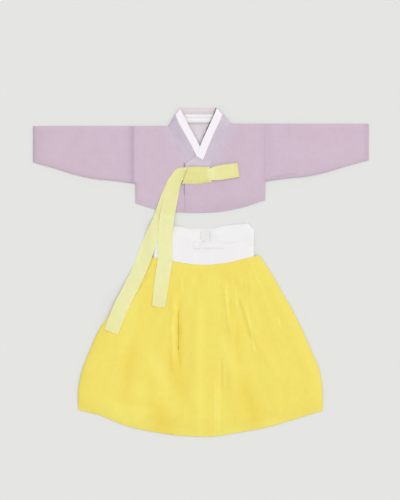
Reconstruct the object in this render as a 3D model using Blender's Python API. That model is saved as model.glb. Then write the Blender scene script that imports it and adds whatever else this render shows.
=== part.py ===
"""A child's hanbok laid flat: a lilac jeogori above a yellow chima with a white band.

Sizes are in millimetres. X runs to the viewer's right, Y from the skirt's hem to the neck and Z up
from the surface that the set lies on. "Right" and "left" in names are the wearer's.
"""

import bmesh
import bpy
import numpy as np

# The whole set.
HALF_SPAN = 521.5
WALL = 1.2
RIBBON_WALL = 1.0
SEAM = 0.3
EDGE_TOP = 2.4
EDGE_REACH = 16.0
EDGE_STEPS = (0.0, 1.5, 5.0, 10.0, EDGE_REACH)

# The jeogori: places of its seams, and how high its layers lie.
SIDE_RIGHT = -204.0
SIDE_LEFT = 198.0
SHOULDER_RIGHT = 453.0
SHOULDER_LEFT = 460.0
ARMHOLE_DEPTH = 178.0
OPENING_X = -52.0
FRONT_TOP = 9.0
OVERLAP_TOP = 11.2
CUFF_TOP = 8.0
COLLAR_RISE = 0.6
COLLAR_END_Y = 329.5
NECK_TOP_Y = 509.5
NECKLINE_Y = 446.0
DONGJEONG_GAP = 0.5
FOLD_RIGHT = ((-101.8, 454.9), (-69.9, 508.2))
FOLD_LEFT = ((50.0, 509.0), (91.5, 460.0))

# Where the back's neckline leaves the shoulder, is down, is still down and is up again.
BACK_NECK = (-104.0, -92.0, 84.0, 96.0)

# The standing back of the collar: its ends at the seam and at the upper edge.
COLLAR_BACK_LOW = (-99.8, 90.5)
COLLAR_BACK_HIGH = (-69.3, 49.4)

# The depth of a sleeve from the shoulder to its lower edge.
SLEEVE_DEPTH = (
    # share of the way from armhole to cuff, depth
    (0.0, ARMHOLE_DEPTH),
    (0.2, 169.5),
    (0.4, 163.0),
    (0.6, 149.0),
    (0.8, 129.5),
    (1.0, 112.5),
)
SLEEVE_STATIONS = 11

JEOGORI_HEM = (
    # x, y
    (-204.0, 213.5),
    (-137.0, 194.5),
    (-77.0, 186.5),
    (-20.0, 185.0),
    (40.0, 186.0),
    (121.0, 199.5),
    (198.0, 223.5),
)
HEM_LOW_Y = 185.0

# The free edge of the under front, hidden up to the collar and then the collar's seam.
UNDER_EDGE = (
    # y, x
    (185.0, 45.0),
    (240.0, 40.0),
    (280.0, 12.0),
    (316.0, -22.0),
    (352.6, -52.2),
    (405.3, -83.2),
    (453.0, -101.8),
)
UNDER_ROWS = (185, 215, 245, 275, 276.5, 280, 285, 291, 316, 340, 364, 388, 412, 437, 443, 448, 451.5, 453)

# The seam that the gore and then the over collar share with the over front.
OVER_SEAM = (
    # y, x
    (185.0, 9.8),
    (COLLAR_END_Y, 29.2),
    (460.0, 91.5),
)
OVER_ROWS = (185, 216, 249, 282, 283.5, 287, 292, 298, COLLAR_END_Y, 360, 390, 420, 444, 450, 455, 458.5, 460)

# The collar halves, from the lower end to the fold at the neck's side. The dongjeong lies between
# the strip's edge and the neck's edge, from the row given on.
COLLAR_UNDER = (
    # seam y, strip x, strip y, neck x, neck y
    (316.0, 4.0, 326.5, 20.0, 335.0),
    (340.0, -16.6, 363.0, -5.4, 389.0),
    (364.0, -29.5, 391.0, -15.5, 409.5),
    (388.0, -41.5, 414.0, -26.5, 432.0),
    (412.0, -54.0, 438.0, -38.0, 455.5),
    (437.0, -66.0, 461.0, -48.5, 477.0),
    (453.0, -76.5, 481.0, -57.0, 494.5),
)
COLLAR_UNDER_TIP = (-80.0, 490.0, -78.5, 489.5, -66.0, 505.5)
COLLAR_OVER = (
    # seam y, strip x, strip y, neck x, neck y
    (330.0, -8.0, 330.0, -51.5, 330.0),
    (333.0, -5.0, 336.0, -51.5, 337.0),
    (336.5, -0.5, 341.5, -32.0, 349.5),
    (340.0, 4.5, 347.7, -15.3, 360.0),
    (358.0, 11.0, 362.5, -8.2, 374.0),
    (378.0, 18.5, 379.5, -3.2, 388.5),
    (400.0, 28.0, 401.0, 5.2, 408.0),
    (430.0, 41.5, 432.5, 19.5, 440.0),
    (459.5, 56.5, 467.0, 35.0, 475.5),
)
COLLAR_OVER_TIP = (66.5, 489.0, 64.8, 488.5, 48.8, 506.5)
DONGJEONG_UNDER_ROW = 1
DONGJEONG_OVER_ROW = 3

# The goreum, tied in one flat loop.
TIE_BASE = OVERLAP_TOP + 0.5
LOOP = (
    # x, y of the middle, width
    (-26.0, 299.0, 29.0),
    (2.0, 300.5, 31.0),
    (26.0, 303.0, 35.0),
    (42.0, 305.5, 43.0),
    (75.0, 311.0, 45.5),
    (113.0, 316.0, 43.5),
)
LOOP_OPEN = 3.8
LOOP_PUFF = 1.6
KNOT = (
    # x at the upper edge, y, x at the lower edge, y
    (-40.0, 324.0, -59.0, 277.0),
    (-22.0, 325.5, -36.0, 277.5),
    (-3.0, 325.0, -12.0, 271.5),
    (12.0, 325.0, 14.0, 276.5),
    (23.0, 325.0, 32.0, 280.0),
)
KNOT_RISE = 7.9
KNOT_REACH = 5.0
TAIL_LONG = (
    # x, y of the outer edge, x, y of the inner edge
    (-35.0, 316.5, -46.0, 286.5),
    (-52.0, 320.5, -57.0, 284.0),
    (-73.0, 319.0, -62.5, 278.5),
    (-88.0, 305.0, -66.5, 270.0),
    (-99.5, 286.0, -71.0, 257.0),
    (-112.5, 257.0, -75.5, 241.0),
    (-125.5, 230.5, -87.0, 213.5),
    (-149.5, 168.0, -108.5, 152.0),
    (-178.5, 106.5, -137.5, 89.5),
    (-206.5, 29.5, -165.5, 12.5),
    (-235.5, -31.0, -194.5, -51.0),
    (-269.0, -96.5, -227.0, -115.5),
    (-300.5, -176.5, -258.5, -193.5),
)
TAIL_SHORT = (
    # x, y of the outer edge, x, y of the inner edge
    (-36.0, 315.0, -46.0, 288.0),
    (-51.0, 318.5, -56.5, 285.5),
    (-71.0, 316.0, -61.0, 280.0),
    (-85.5, 302.5, -64.0, 272.0),
    (-97.0, 284.0, -66.5, 262.0),
    (-109.0, 256.0, -69.5, 244.0),
    (-118.0, 226.5, -74.5, 217.5),
    (-130.0, 162.5, -85.0, 157.5),
    (-134.0, 99.0, -89.0, 97.0),
    (-135.5, 38.0, -90.5, 34.0),
    (-144.5, -22.0, -99.5, -28.0),
    (-152.5, -104.5, -112.5, -109.5),
)
TAIL_SLOPE = 0.34
TAIL_CORE = 13.0
TAIL_CLEAR = 0.4
TAIL_STEP = 13.0
SUPPORT_STEP = 4.0

# The chima: its sides, its waist seam and its hem.
SKIRT_SIDES = (
    # y, x at the viewer's left, x at the viewer's right
    (52.0, -151.5, 180.3),
    (0.0, -188.0, 214.0),
    (-60.0, -231.5, 249.0),
    (-120.0, -275.0, 283.0),
    (-180.0, -318.0, 313.0),
    (-240.0, -344.5, 339.0),
    (-300.0, -368.0, 364.5),
    (-360.0, -381.0, 375.0),
    (-429.0, -381.5, 376.0),
)
WAIST_SEAM = (
    # x, y
    (-153.5, 47.0),
    (-65.0, 30.5),
    (-15.0, 24.0),
    (35.0, 24.0),
    (84.0, 30.5),
    (134.0, 42.5),
    (180.3, 52.5),
)
SKIRT_HEM = (
    # x, y
    (-381.5, -425.5),
    (-313.0, -444.0),
    (-238.0, -474.0),
    (-139.0, -496.5),
    (-30.0, -508.5),
    (35.0, -509.0),
    (109.0, -498.0),
    (208.0, -479.0),
    (307.0, -450.0),
    (376.0, -428.5),
)
GATHERS = 25
PANEL_SEAM = 14 / GATHERS
SKIRT_REACH = 34.0
SKIRT_ROWS = (0.0, 0.03, 0.08, 0.15, 0.24, 0.35, 0.48, 0.61, 0.74, 0.87, 1.0)
BACK_ROWS = (0.0, 0.04, 0.12, 0.24, 0.4, 0.58, 0.79, 1.0)
BACK_COLUMNS = 2 * GATHERS
GATHER_SIZES = (
    # share of the way down, height of the skirt, of the gathers, of the broad folds
    (0.0, 9.6, 0.8, 0.0),
    (0.04, 10.6, 2.0, 0.3),
    (0.12, 13.0, 2.3, 1.0),
    (0.24, 14.5, 1.2, 2.3),
    (0.42, 15.0, 0.4, 2.5),
    (0.7, 15.5, 0.0, 1.6),
    (1.0, 16.0, 0.0, 1.4),
)
BACK_RISE = 0.9
BACK_GATHER = 0.5
BACK_FLAT_SIDE = 6.0

# The gathers lie a little unevenly: how far they sway, and how their height varies.
SKIRT_SWAY = 0.006
SWAY_RATE = 31.0
UNEVEN_RATE = 47.0
SIDE_SLANT = 0.85
FOLD_RUNOUT = 2.5

# The front's largest folds, as soft ridges, and troughs where the height is negative.
SKIRT_FOLDS = (
    # x, y where it starts, x, y where it ends, height, half width
    (-71.0, -94.0, -72.0, -181.0, -3.6, 8.0),
    (-72.0, -181.0, -68.0, -289.0, -3.6, 8.0),
    (-86.0, -94.0, -87.0, -295.0, 3.2, 9.0),
    (-90.0, -303.0, -192.0, -388.0, 2.6, 15.0),
    (-9.0, -72.0, -9.0, -500.0, 3.0, 15.0),
    (-50.0, -318.0, -55.0, -345.0, -2.6, 17.0),
    (-95.0, -425.0, -110.0, -500.0, -3.4, 34.0),
    (62.0, -286.0, 62.0, -357.0, -3.2, 8.0),
    (72.0, -57.0, 92.0, -175.0, 2.6, 10.0),
    (92.0, -175.0, 94.0, -348.0, 2.8, 11.0),
    (108.0, -360.0, 125.0, -455.0, 2.4, 20.0),
    (115.0, -100.0, 147.0, -196.0, -2.6, 8.0),
    (131.0, -106.0, 160.0, -190.0, 2.6, 10.0),
    (160.0, -190.0, 233.0, -315.0, 2.6, 12.0),
    (154.0, -372.0, 156.0, -460.0, -3.0, 22.0),
    (218.0, -330.0, 226.0, -390.0, 2.4, 18.0),
    (-266.0, -283.0, -295.0, -365.0, 2.6, 15.0),
    (-226.0, -260.0, -236.0, -330.0, -2.4, 16.0),
)

# The waistband.
BAND_TOP = 9.2
BAND_EDGE_RIGHT = -150.0
BAND_EDGE_LEFT = 163.5
BAND_MEET_X = 4.0
NOTCH_FOOT_Y = 92.0
NOTCH_SHARE = 0.52
NOTCH_SPREAD = 0.16
BAND_UPPER_RIGHT = (
    # x, y
    (-150.0, 146.0),
    (-82.0, 143.0),
    (-59.0, 141.0),
    (-30.5, 131.0),
    (-3.6, 130.5),
)
BAND_UPPER_LEFT = (
    # x, y
    (27.0, 128.5),
    (50.0, 138.5),
    (93.5, 142.5),
    (131.0, 149.0),
    (148.0, 149.0),
    (163.5, 128.0),
)
BAND_BACK_TOP = 136.0

# Flat patches, as the x and y of the lower corner, the width and the height.
TAB = (-25.0, 74.5, 20.0, 18.0)
LABEL = (-53.0, 464.5, 89.0, 24.5)

LILAC = (208, 188, 204)
LILAC_INSIDE = (214, 202, 209)
WHITE_COTTON = (242, 240, 240)
WHITE_STRIP = (248, 243, 248)
YELLOW = (243, 224, 106)
PALE_YELLOW = (236, 234, 168)
CLOTH_ROUGHNESS = 0.7


def linear_colour(rgb):
    """The linear colour of an 8-bit screen colour."""
    share = np.array(rgb, float) / 255
    curve = np.where(share <= 0.04045, share / 12.92, ((share + 0.055) / 1.055) ** 2.4)
    return (*curve.tolist(), 1.0)


def cloth_material(name, rgb):
    material = bpy.data.materials.new(name + "_cloth")
    material.use_nodes = True
    shader = material.node_tree.nodes["Principled BSDF"]
    shader.inputs["Base Color"].default_value = linear_colour(rgb)
    shader.inputs["Roughness"].default_value = CLOTH_ROUGHNESS
    shader.inputs["Metallic"].default_value = 0.0
    return material


def smooth_curve(rows):
    """A function that runs smoothly through (place, value) rows, for rising places."""
    place, value = np.array(sorted(rows), float).T
    slope = np.gradient(value, place)

    def read(at):
        at = np.clip(np.asarray(at, float), place[0], place[-1])
        k = np.clip(np.searchsorted(place, at, side="right") - 1, 0, len(place) - 2)
        span = place[k + 1] - place[k]
        t = (at - place[k]) / span
        ends = value[k] * (1 + 2 * t) * (1 - t) ** 2 + value[k + 1] * t**2 * (3 - 2 * t)
        bends = slope[k] * t * (1 - t) ** 2 - slope[k + 1] * t**2 * (1 - t)
        return ends + span * bends

    return read


def crown(distance, reach=EDGE_REACH):
    """How far a cloth has risen, from 0 at its edge to 1 at the reach, as a quarter ellipse."""
    t = np.clip(np.asarray(distance, float) / reach, 0, 1)
    return np.sqrt(1 - (1 - t) ** 2)


def lofted(distance, top, reach=EDGE_REACH):
    return EDGE_TOP + (top - EDGE_TOP) * crown(distance, reach)


def line_distance(x, y, line):
    """The distance of a point from a line, positive on its right-hand side."""
    (ax, ay), (bx, by) = line
    length = np.hypot(bx - ax, by - ay)
    return ((x - ax) * (by - ay) - (y - ay) * (bx - ax)) / length


def moved_out(points, distance, ring=False, around=False):
    """The grid of points moved along its own normals, which point up, or outward from its middle."""
    grid = np.concatenate([points[:, -1:], points, points[:, :1]], axis=1) if ring else points
    along = np.gradient(grid, axis=0)
    across = np.gradient(grid, axis=1)
    normal = np.cross(across, along)
    if ring:
        normal = normal[:, 1:-1]
    normal /= np.linalg.norm(normal, axis=2, keepdims=True)
    outward = points - points.mean((0, 1)) if around else np.array([0.0, 0.0, 1.0])
    return points + distance * normal * np.sign((normal * outward).sum())


def lattice(columns, rows):
    """Two grids of places, one row for each place along and one column for each across."""
    return np.meshgrid(np.asarray(columns, float), np.asarray(rows, float))


def between(left, right, share):
    """A grid of points from a left edge to a right edge, each a list of (x, y) rows."""
    left = np.asarray(left, float)[:, None, :]
    right = np.asarray(right, float)[:, None, :]
    share = np.asarray(share, float)[None, :, None]
    return left * (1 - share) + right * share


def with_height(plan, height):
    return np.concatenate([plan, np.asarray(height, float)[..., None]], axis=2)


def grid_faces(rows, columns, ring):
    """The quads of a grid, whose rows close into rings where asked."""
    steps = columns if ring else columns - 1
    faces = []
    for low in range(0, (rows - 1) * columns, columns):
        high = low + columns
        for column in range(steps):
            after = (column + 1) % columns
            faces.append((low + column, low + after, high + after, high + column))
    return faces


def border_edges(rows, columns, ring):
    """The pairs of neighbouring points along a grid's open edges."""
    last = (rows - 1) * columns
    steps = columns if ring else columns - 1
    edges = []
    for column in range(steps):
        after = (column + 1) % columns
        edges.append((column, after))
        edges.append((last + column, last + after))
    if not ring:
        for low in range(0, last, columns):
            edges.append((low, low + columns))
            edges.append((low + columns - 1, low + 2 * columns - 1))
    return edges


def cloth_wall(name, outer, inner, rgb, ring=False):
    """A closed wall of cloth between two grids of points, its outer and its inner face."""
    rows, columns = outer.shape[:2]
    count = rows * columns
    outer_faces = grid_faces(rows, columns, ring)
    inner_faces = [tuple(point + count for point in face) for face in outer_faces]
    rim = [(a, b, b + count, a + count) for a, b in border_edges(rows, columns, ring)]
    points = np.concatenate([outer.reshape(-1, 3), inner.reshape(-1, 3)]) * 0.001
    mesh = bpy.data.meshes.new(name)
    mesh.from_pydata(points.tolist(), [], outer_faces + inner_faces + rim)
    shape = bmesh.new()
    shape.from_mesh(mesh)
    bmesh.ops.recalc_face_normals(shape, faces=shape.faces)
    shape.to_mesh(mesh)
    shape.free()
    mesh.shade_smooth()
    mesh.set_sharp_from_angle(angle=np.radians(50))
    mesh.materials.append(cloth_material(name, rgb))
    piece = bpy.data.objects.new(name, mesh)
    bpy.context.scene.collection.objects.link(piece)


def cloth_piece(name, outer, rgb, wall=WALL):
    """A cloth that lies with its outer face up."""
    cloth_wall(name, outer, moved_out(outer, -wall), rgb)


# The jeogori's outline and height.
jeogori_hem = smooth_curve(JEOGORI_HEM)
sleeve_depth = smooth_curve(SLEEVE_DEPTH)
under_edge = smooth_curve(UNDER_EDGE)


def body_distance(x, y, side, armhole_y, shoulder_y):
    """The distance of a front's point from the folded edges around it."""
    sideways = np.abs(x - side)
    below = np.maximum(y - armhole_y, 0)
    return np.minimum(np.hypot(sideways, below), shoulder_y - y)


def raised_hem(x, y, armhole_y):
    """Moves a row of points with the hem's curve, less and less up to the armhole."""
    share = np.clip((armhole_y - y) / (armhole_y - HEM_LOW_Y), 0, 1)
    return y + share * (jeogori_hem(x) - HEM_LOW_Y)


def under_front_points():
    armhole_y = SHOULDER_RIGHT - ARMHOLE_DEPTH
    rows = np.array(UNDER_ROWS, float)
    start = SIDE_RIGHT + SEAM / 2
    shares = np.linspace(0, 1, 9)[1:]
    grid = []
    for y in rows:
        inner = start + EDGE_REACH + shares * (under_edge(y) - SEAM - start - EDGE_REACH)
        grid.append(np.concatenate([start + np.array(EDGE_STEPS), inner]))
    x = np.array(grid)
    y = np.repeat(rows[:, None], x.shape[1], axis=1)
    height = lofted(body_distance(x, y, SIDE_RIGHT, armhole_y, SHOULDER_RIGHT), FRONT_TOP)
    y = raised_hem(x, y, armhole_y)
    return np.stack([x, y, height], axis=2)


def over_seam(y):
    place, across = np.array(OVER_SEAM).T
    return np.interp(y, place, across)


def over_front_points():
    armhole_y = SHOULDER_LEFT - ARMHOLE_DEPTH
    rows = np.array(OVER_ROWS, float)
    end = SIDE_LEFT - SEAM / 2
    shares = np.linspace(0, 1, 7)[:-1]
    grid = []
    for y in rows:
        start = over_seam(y) + SEAM
        inner = start + shares * (end - EDGE_REACH - start)
        grid.append(np.concatenate([inner, end - np.array(EDGE_STEPS)[::-1]]))
    x = np.array(grid)
    y = np.repeat(rows[:, None], x.shape[1], axis=1)
    height = lofted(body_distance(x, y, SIDE_LEFT, armhole_y, SHOULDER_LEFT), OVERLAP_TOP)
    y = raised_hem(x, y, armhole_y)
    return np.stack([x, y, height], axis=2)


def gore_points():
    armhole_y = SHOULDER_LEFT - ARMHOLE_DEPTH
    rows = np.linspace(HEM_LOW_Y, COLLAR_END_Y - SEAM, 6)
    shares = np.linspace(0, 1, 4)
    start = OPENING_X
    x = start + shares[None, :] * (over_seam(rows)[:, None] - start)
    y = np.repeat(rows[:, None], len(shares), axis=1)
    y = raised_hem(x, y, armhole_y)
    return np.stack([x, y, np.full_like(x, OVERLAP_TOP)], axis=2)


def back_top(x):
    """The back's upper edge: the shoulders, and the neckline between them."""
    shoulder = np.where(x < 0, SHOULDER_RIGHT, SHOULDER_LEFT)
    inside = np.interp(x, BACK_NECK, (0, 1, 1, 0))
    return shoulder + (NECKLINE_Y - shoulder) * inside


def back_points():
    places = (SIDE_RIGHT + SEAM / 2, *BACK_NECK, SIDE_LEFT - SEAM / 2)
    columns = np.interp(np.linspace(0, 5, 16), range(6), places)
    x, share = lattice(columns, np.linspace(0, 1, 5))
    y = jeogori_hem(x) * (1 - share) + back_top(x) * share
    return np.stack([x, y, np.full_like(x, WALL)], axis=2)


def sleeve_points(side, end, shoulder_y, top):
    """The rings of a sleeve, from the armhole to the cuff: over the top, and back flat below."""
    rings = []
    for share in np.linspace(0, 1, SLEEVE_STATIONS):
        x = side + share * (end - side)
        depth = float(sleeve_depth(share))
        height = top + share * (CUFF_TOP - top)
        middle = depth * np.array([0.3, 0.5, 0.7])
        across = np.concatenate([EDGE_STEPS, middle, depth - np.array(EDGE_STEPS)[::-1]])
        rise = lofted(np.minimum(across, depth - across), height)
        below = depth * np.linspace(1, 0, 5)
        y = shoulder_y - depth + np.concatenate([across, below])
        z = np.concatenate([rise, np.zeros(5)])
        rings.append(np.stack([np.full_like(y, x), y, z], axis=1))
    return np.array(rings)


def fold_height(x, y, top):
    """The height of a collar half, which comes down to the fold at the neck's side."""
    right = line_distance(x, y, FOLD_RIGHT)
    left = line_distance(x, y, FOLD_LEFT)
    return lofted(np.minimum(np.abs(right), np.abs(left)), top)


def collar_points(rows, table, seam, tip, top):
    """A collar half, from its lower end along the seam, then along the fold at the neck's side."""
    rows = np.array(rows, float)
    table = np.array(table)
    edges = np.stack([np.interp(rows, table[:, 0], table[:, k]) for k in range(1, 5)], axis=1)
    edges = np.concatenate([seam(rows)[:, None], rows[:, None], edges], axis=1)
    climb = np.array([0.3, 0.6, 0.85, 1.0])[:, None]
    edges = np.concatenate([edges, edges[-1] * (1 - climb) + np.array(tip) * climb])
    outside = between(edges[:, :2], edges[:, 2:4], np.linspace(0, 1, 4))
    strip = between(edges[:, 2:4], edges[:, 4:], np.linspace(0, 1, 4))
    plan = np.concatenate([outside, strip[:, 1:]], axis=1)
    return with_height(plan, fold_height(plan[..., 0], plan[..., 1], top))


def collar_back_points():
    share, up = lattice(np.linspace(0, 1, 9), np.linspace(0, 1, 5))
    low_x = COLLAR_BACK_LOW[0] + share * (COLLAR_BACK_LOW[1] - COLLAR_BACK_LOW[0])
    high_x = COLLAR_BACK_HIGH[0] + share * (COLLAR_BACK_HIGH[1] - COLLAR_BACK_HIGH[0])
    x = low_x + up * (high_x - low_x)
    low_y = back_top(low_x) + SEAM
    y = low_y + up * (NECK_TOP_Y - low_y)
    return np.stack([x, y, np.full_like(x, WALL)], axis=2)


def flat_patch(x, y, width, height, top):
    across, along = lattice((x, x + width), (y, y + height))
    return np.stack([across, along, np.full_like(across, top)], axis=2)


# The chima's outline and height.
waist_seam = smooth_curve(WAIST_SEAM)
skirt_hem = smooth_curve(SKIRT_HEM)
skirt_side_near = smooth_curve([(row[0], row[1]) for row in SKIRT_SIDES])
skirt_side_far = smooth_curve([(row[0], row[2]) for row in SKIRT_SIDES])
skirt_level = smooth_curve([(row[0], row[1]) for row in GATHER_SIZES])
gather_size = smooth_curve([(row[0], row[2]) for row in GATHER_SIZES])
fold_size = smooth_curve([(row[0], row[3]) for row in GATHER_SIZES])


def skirt_plan(across, down):
    """The place of a point of the skirt, and how far its side edges are to either hand."""
    shifted = across + SKIRT_SWAY * np.sin(across * SWAY_RATE) * np.sin(np.pi * across)
    low = WAIST_SEAM[0][0]
    high = WAIST_SEAM[-1][0]
    top_y = waist_seam(low + shifted * (high - low))
    hem_low = SKIRT_HEM[0][0]
    hem_high = SKIRT_HEM[-1][0]
    hem_y = skirt_hem(hem_low + shifted * (hem_high - hem_low))
    y = top_y * (1 - down) + hem_y * down
    near_y = WAIST_SEAM[0][1] * (1 - down) + SKIRT_HEM[0][1] * down
    far_y = WAIST_SEAM[-1][1] * (1 - down) + SKIRT_HEM[-1][1] * down
    near = skirt_side_near(near_y)
    far = skirt_side_far(far_y)
    x = near + shifted * (far - near)
    return x, y, x - near, far - x


def fold_rows(x, y, rows):
    """The summed height of soft ridges and troughs laid along straight lines."""
    total = np.zeros_like(x)
    for ax, ay, bx, by, height, half_width in rows:
        run_x = bx - ax
        run_y = by - ay
        length = np.hypot(run_x, run_y)
        along = ((x - ax) * run_x + (y - ay) * run_y) / length
        past = np.maximum(np.maximum(-along, along - length), 0)
        aside = ((x - ax) * run_y - (y - ay) * run_x) / length
        total += height * np.exp(-((aside / half_width) ** 2) - (past / (FOLD_RUNOUT * half_width)) ** 2)
    return total


def skirt_front_points(across, down):
    x, y, near, far = skirt_plan(across, down)
    uneven = 0.8 + 0.2 * np.sin(across * UNEVEN_RATE)
    waves = gather_size(down) * uneven * np.cos(2 * np.pi * GATHERS * across)
    waves += fold_size(down) * np.cos(np.pi * GATHERS * across + 0.8)
    height = skirt_level(down) + waves + fold_rows(x, y, SKIRT_FOLDS)
    reach = np.minimum(near, far) * SIDE_SLANT
    z = EDGE_TOP + (height - EDGE_TOP) * crown(reach, SKIRT_REACH)
    return np.stack([x, y, z], axis=2)


def skirt_back_points(across, down):
    x, y, near, far = skirt_plan(across, down)
    waves = BACK_GATHER * gather_size(down) * np.cos(2 * np.pi * GATHERS * across)
    waves += fold_size(down) * np.cos(np.pi * GATHERS * across)
    inward = np.minimum(near, far) - BACK_FLAT_SIDE
    rise = BACK_RISE * np.maximum(waves, 0) * crown(inward, 3 * SKIRT_REACH)
    return np.stack([x, y, WALL + rise], axis=2)


def band_front_points(upper_rows, from_x, to_x, columns):
    """One front of the band, from the waist seam up to its own upper edge."""
    upper = np.array(upper_rows)
    x_low = np.linspace(from_x, to_x, columns)
    x_high = np.linspace(upper[0][0], upper[-1][0], columns)
    high_y = np.interp(x_high, upper[:, 0], upper[:, 1])
    rows = []
    low_y = waist_seam(x_low) + SEAM
    for share in (0.0, NOTCH_SHARE / 2, NOTCH_SHARE, NOTCH_SHARE + NOTCH_SPREAD, 1.0):
        below = min(share / NOTCH_SHARE, 1)
        above = max(share - NOTCH_SHARE, 0)
        x = x_low + (x_high - x_low) * min(above / NOTCH_SPREAD, 1)
        y = low_y + (NOTCH_FOOT_Y - low_y) * below + (high_y - NOTCH_FOOT_Y) * above / (1 - NOTCH_SHARE)
        rows.append(np.stack([x, y], axis=1))
    plan = np.array(rows)
    distance = np.minimum(plan[..., 0] - BAND_EDGE_RIGHT, BAND_EDGE_LEFT - plan[..., 0])
    return with_height(plan, lofted(distance, BAND_TOP))


def band_back_points():
    columns = np.linspace(BAND_EDGE_RIGHT, BAND_EDGE_LEFT, 10)
    x, share = lattice(columns, np.linspace(0, 1, 3))
    y = (waist_seam(x) + SEAM) * (1 - share) + BAND_BACK_TOP * share
    return np.stack([x, y, np.full_like(x, WALL)], axis=2)


def ribbon_plan(rows, step, columns):
    """A ribbon's grid in plan, from the places of its two edges."""
    table = np.array(rows, float)
    middle = (table[:, :2] + table[:, 2:]) / 2
    run = np.concatenate([[0], np.cumsum(np.hypot(*np.diff(middle, axis=0).T))])
    along = np.linspace(0, run[-1], round(run[-1] / step) + 1)
    edges = np.stack([smooth_curve(list(zip(run, table[:, k])))(along) for k in range(4)], axis=1)
    return between(edges[:, 2:], edges[:, :2], np.linspace(0, 1, columns))


def draped(plan, supports):
    """The top of a ribbon that lies on what is below it, and elsewhere comes down to the surface."""
    flat = plan.reshape(-1, 2)
    height = np.zeros(len(flat))
    for k, place in enumerate(flat):
        away = np.hypot(*(supports[:, :2] - place).T)
        reach = supports[:, 2] - TAIL_SLOPE * np.maximum(away - TAIL_CORE, 0)
        height[k] = max(reach.max() + TAIL_CLEAR, 0)
    return with_height(plan, height.reshape(plan.shape[:2]) + RIBBON_WALL)


def support_points():
    """The tops of the jacket, the band and the skirt where the tails pass over them."""
    jacket_y = np.arange(HEM_LOW_Y, COLLAR_END_Y, SUPPORT_STEP)
    x, y = lattice(np.arange(BAND_EDGE_RIGHT, KNOT[1][0], SUPPORT_STEP), jacket_y)
    top = np.where(x >= OPENING_X, OVERLAP_TOP, FRONT_TOP)
    jacket = np.stack([x, y, top], axis=2)[y >= jeogori_hem(x)]
    band_y = np.arange(WAIST_SEAM[-2][1], BAND_UPPER_RIGHT[0][1], SUPPORT_STEP)
    x, y = lattice(np.arange(BAND_EDGE_RIGHT, KNOT[1][0], SUPPORT_STEP), band_y)
    band = np.stack([x, y, lofted(x - BAND_EDGE_RIGHT, BAND_TOP)], axis=2).reshape(-1, 3)
    across, down = lattice(np.linspace(0, 0.5, 120), np.linspace(0, 0.55, 90))
    skirt = skirt_front_points(across, down).reshape(-1, 3)
    return np.concatenate([jacket, band, skirt])


def loop_points():
    """The goreum's loop as one strip: out to the right below, round its end, and back on top."""
    table = np.array(LOOP)
    stations = np.linspace(0, 1, 9)
    out_x = table[0, 0] + stations * (table[-1, 0] - table[0, 0])
    bottom = np.full_like(out_x, TIE_BASE)
    top = TIE_BASE + LOOP_OPEN + LOOP_PUFF * np.sin(np.pi * stations)
    end_x = table[-1, 0]
    bend = np.radians((-60, 0, 60))
    radius = LOOP_OPEN / 2
    x = np.concatenate([out_x, end_x + radius * np.cos(bend), out_x[::-1]])
    z = np.concatenate([bottom, TIE_BASE + radius + radius * np.sin(bend), top[::-1]])
    middle = np.minimum(x, end_x)
    y = smooth_curve([(row[0], row[1]) for row in LOOP])(middle)
    width = smooth_curve([(row[0], row[2]) for row in LOOP])(middle)
    offsets = np.linspace(-0.5, 0.5, 5)
    lean = (table[-1, 1] - table[0, 1]) / (table[-1, 0] - table[0, 0])
    grid_y = y[:, None] + offsets * width[:, None]
    grid_x = x[:, None] - offsets * width[:, None] * lean
    grid_z = np.repeat(z[:, None], len(offsets), axis=1)
    return np.stack([grid_x, grid_y, grid_z], axis=2)


def knot_points():
    table = np.array(KNOT)
    places = np.linspace(0, len(table) - 1, 9)
    rows = np.stack([np.interp(places, range(len(table)), table[:, k]) for k in range(4)], axis=1)
    shares = np.array([0.0, 0.04, 0.1, 0.2, 0.38, 0.62, 0.8, 0.9, 0.96, 1.0])
    plan = between(rows[:, 2:], rows[:, :2], shares)
    size = np.hypot(*(rows[:, 2:] - rows[:, :2]).T)[:, None]
    edge = np.minimum(shares, 1 - shares)[None, :] * size
    end = np.minimum(places, places[-1] - places)[:, None]
    rise = KNOT_RISE * crown(edge, KNOT_REACH) * (0.9 + 0.1 * crown(end, 1.0))
    return with_height(plan, OVERLAP_TOP + SEAM + RIBBON_WALL + rise)


def clear_scene():
    for thing in list(bpy.data.objects):
        bpy.data.objects.remove(thing, do_unlink=True)


def build_jeogori():
    cloth_piece("jeogori_back", back_points(), LILAC_INSIDE)
    cloth_piece("jeogori_front_right", under_front_points(), LILAC)
    cloth_piece("jeogori_front_left", over_front_points(), LILAC)
    cloth_piece("jeogori_gore_left", gore_points(), LILAC)
    right = sleeve_points(SIDE_RIGHT - SEAM / 2, -HALF_SPAN, SHOULDER_RIGHT, FRONT_TOP)
    left = sleeve_points(SIDE_LEFT + SEAM / 2, HALF_SPAN, SHOULDER_LEFT, OVERLAP_TOP)
    for name, rings in (("jeogori_sleeve_right", right), ("jeogori_sleeve_left", left)):
        cloth_wall(name, rings, moved_out(rings, -WALL, ring=True, around=True), LILAC, ring=True)


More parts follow.
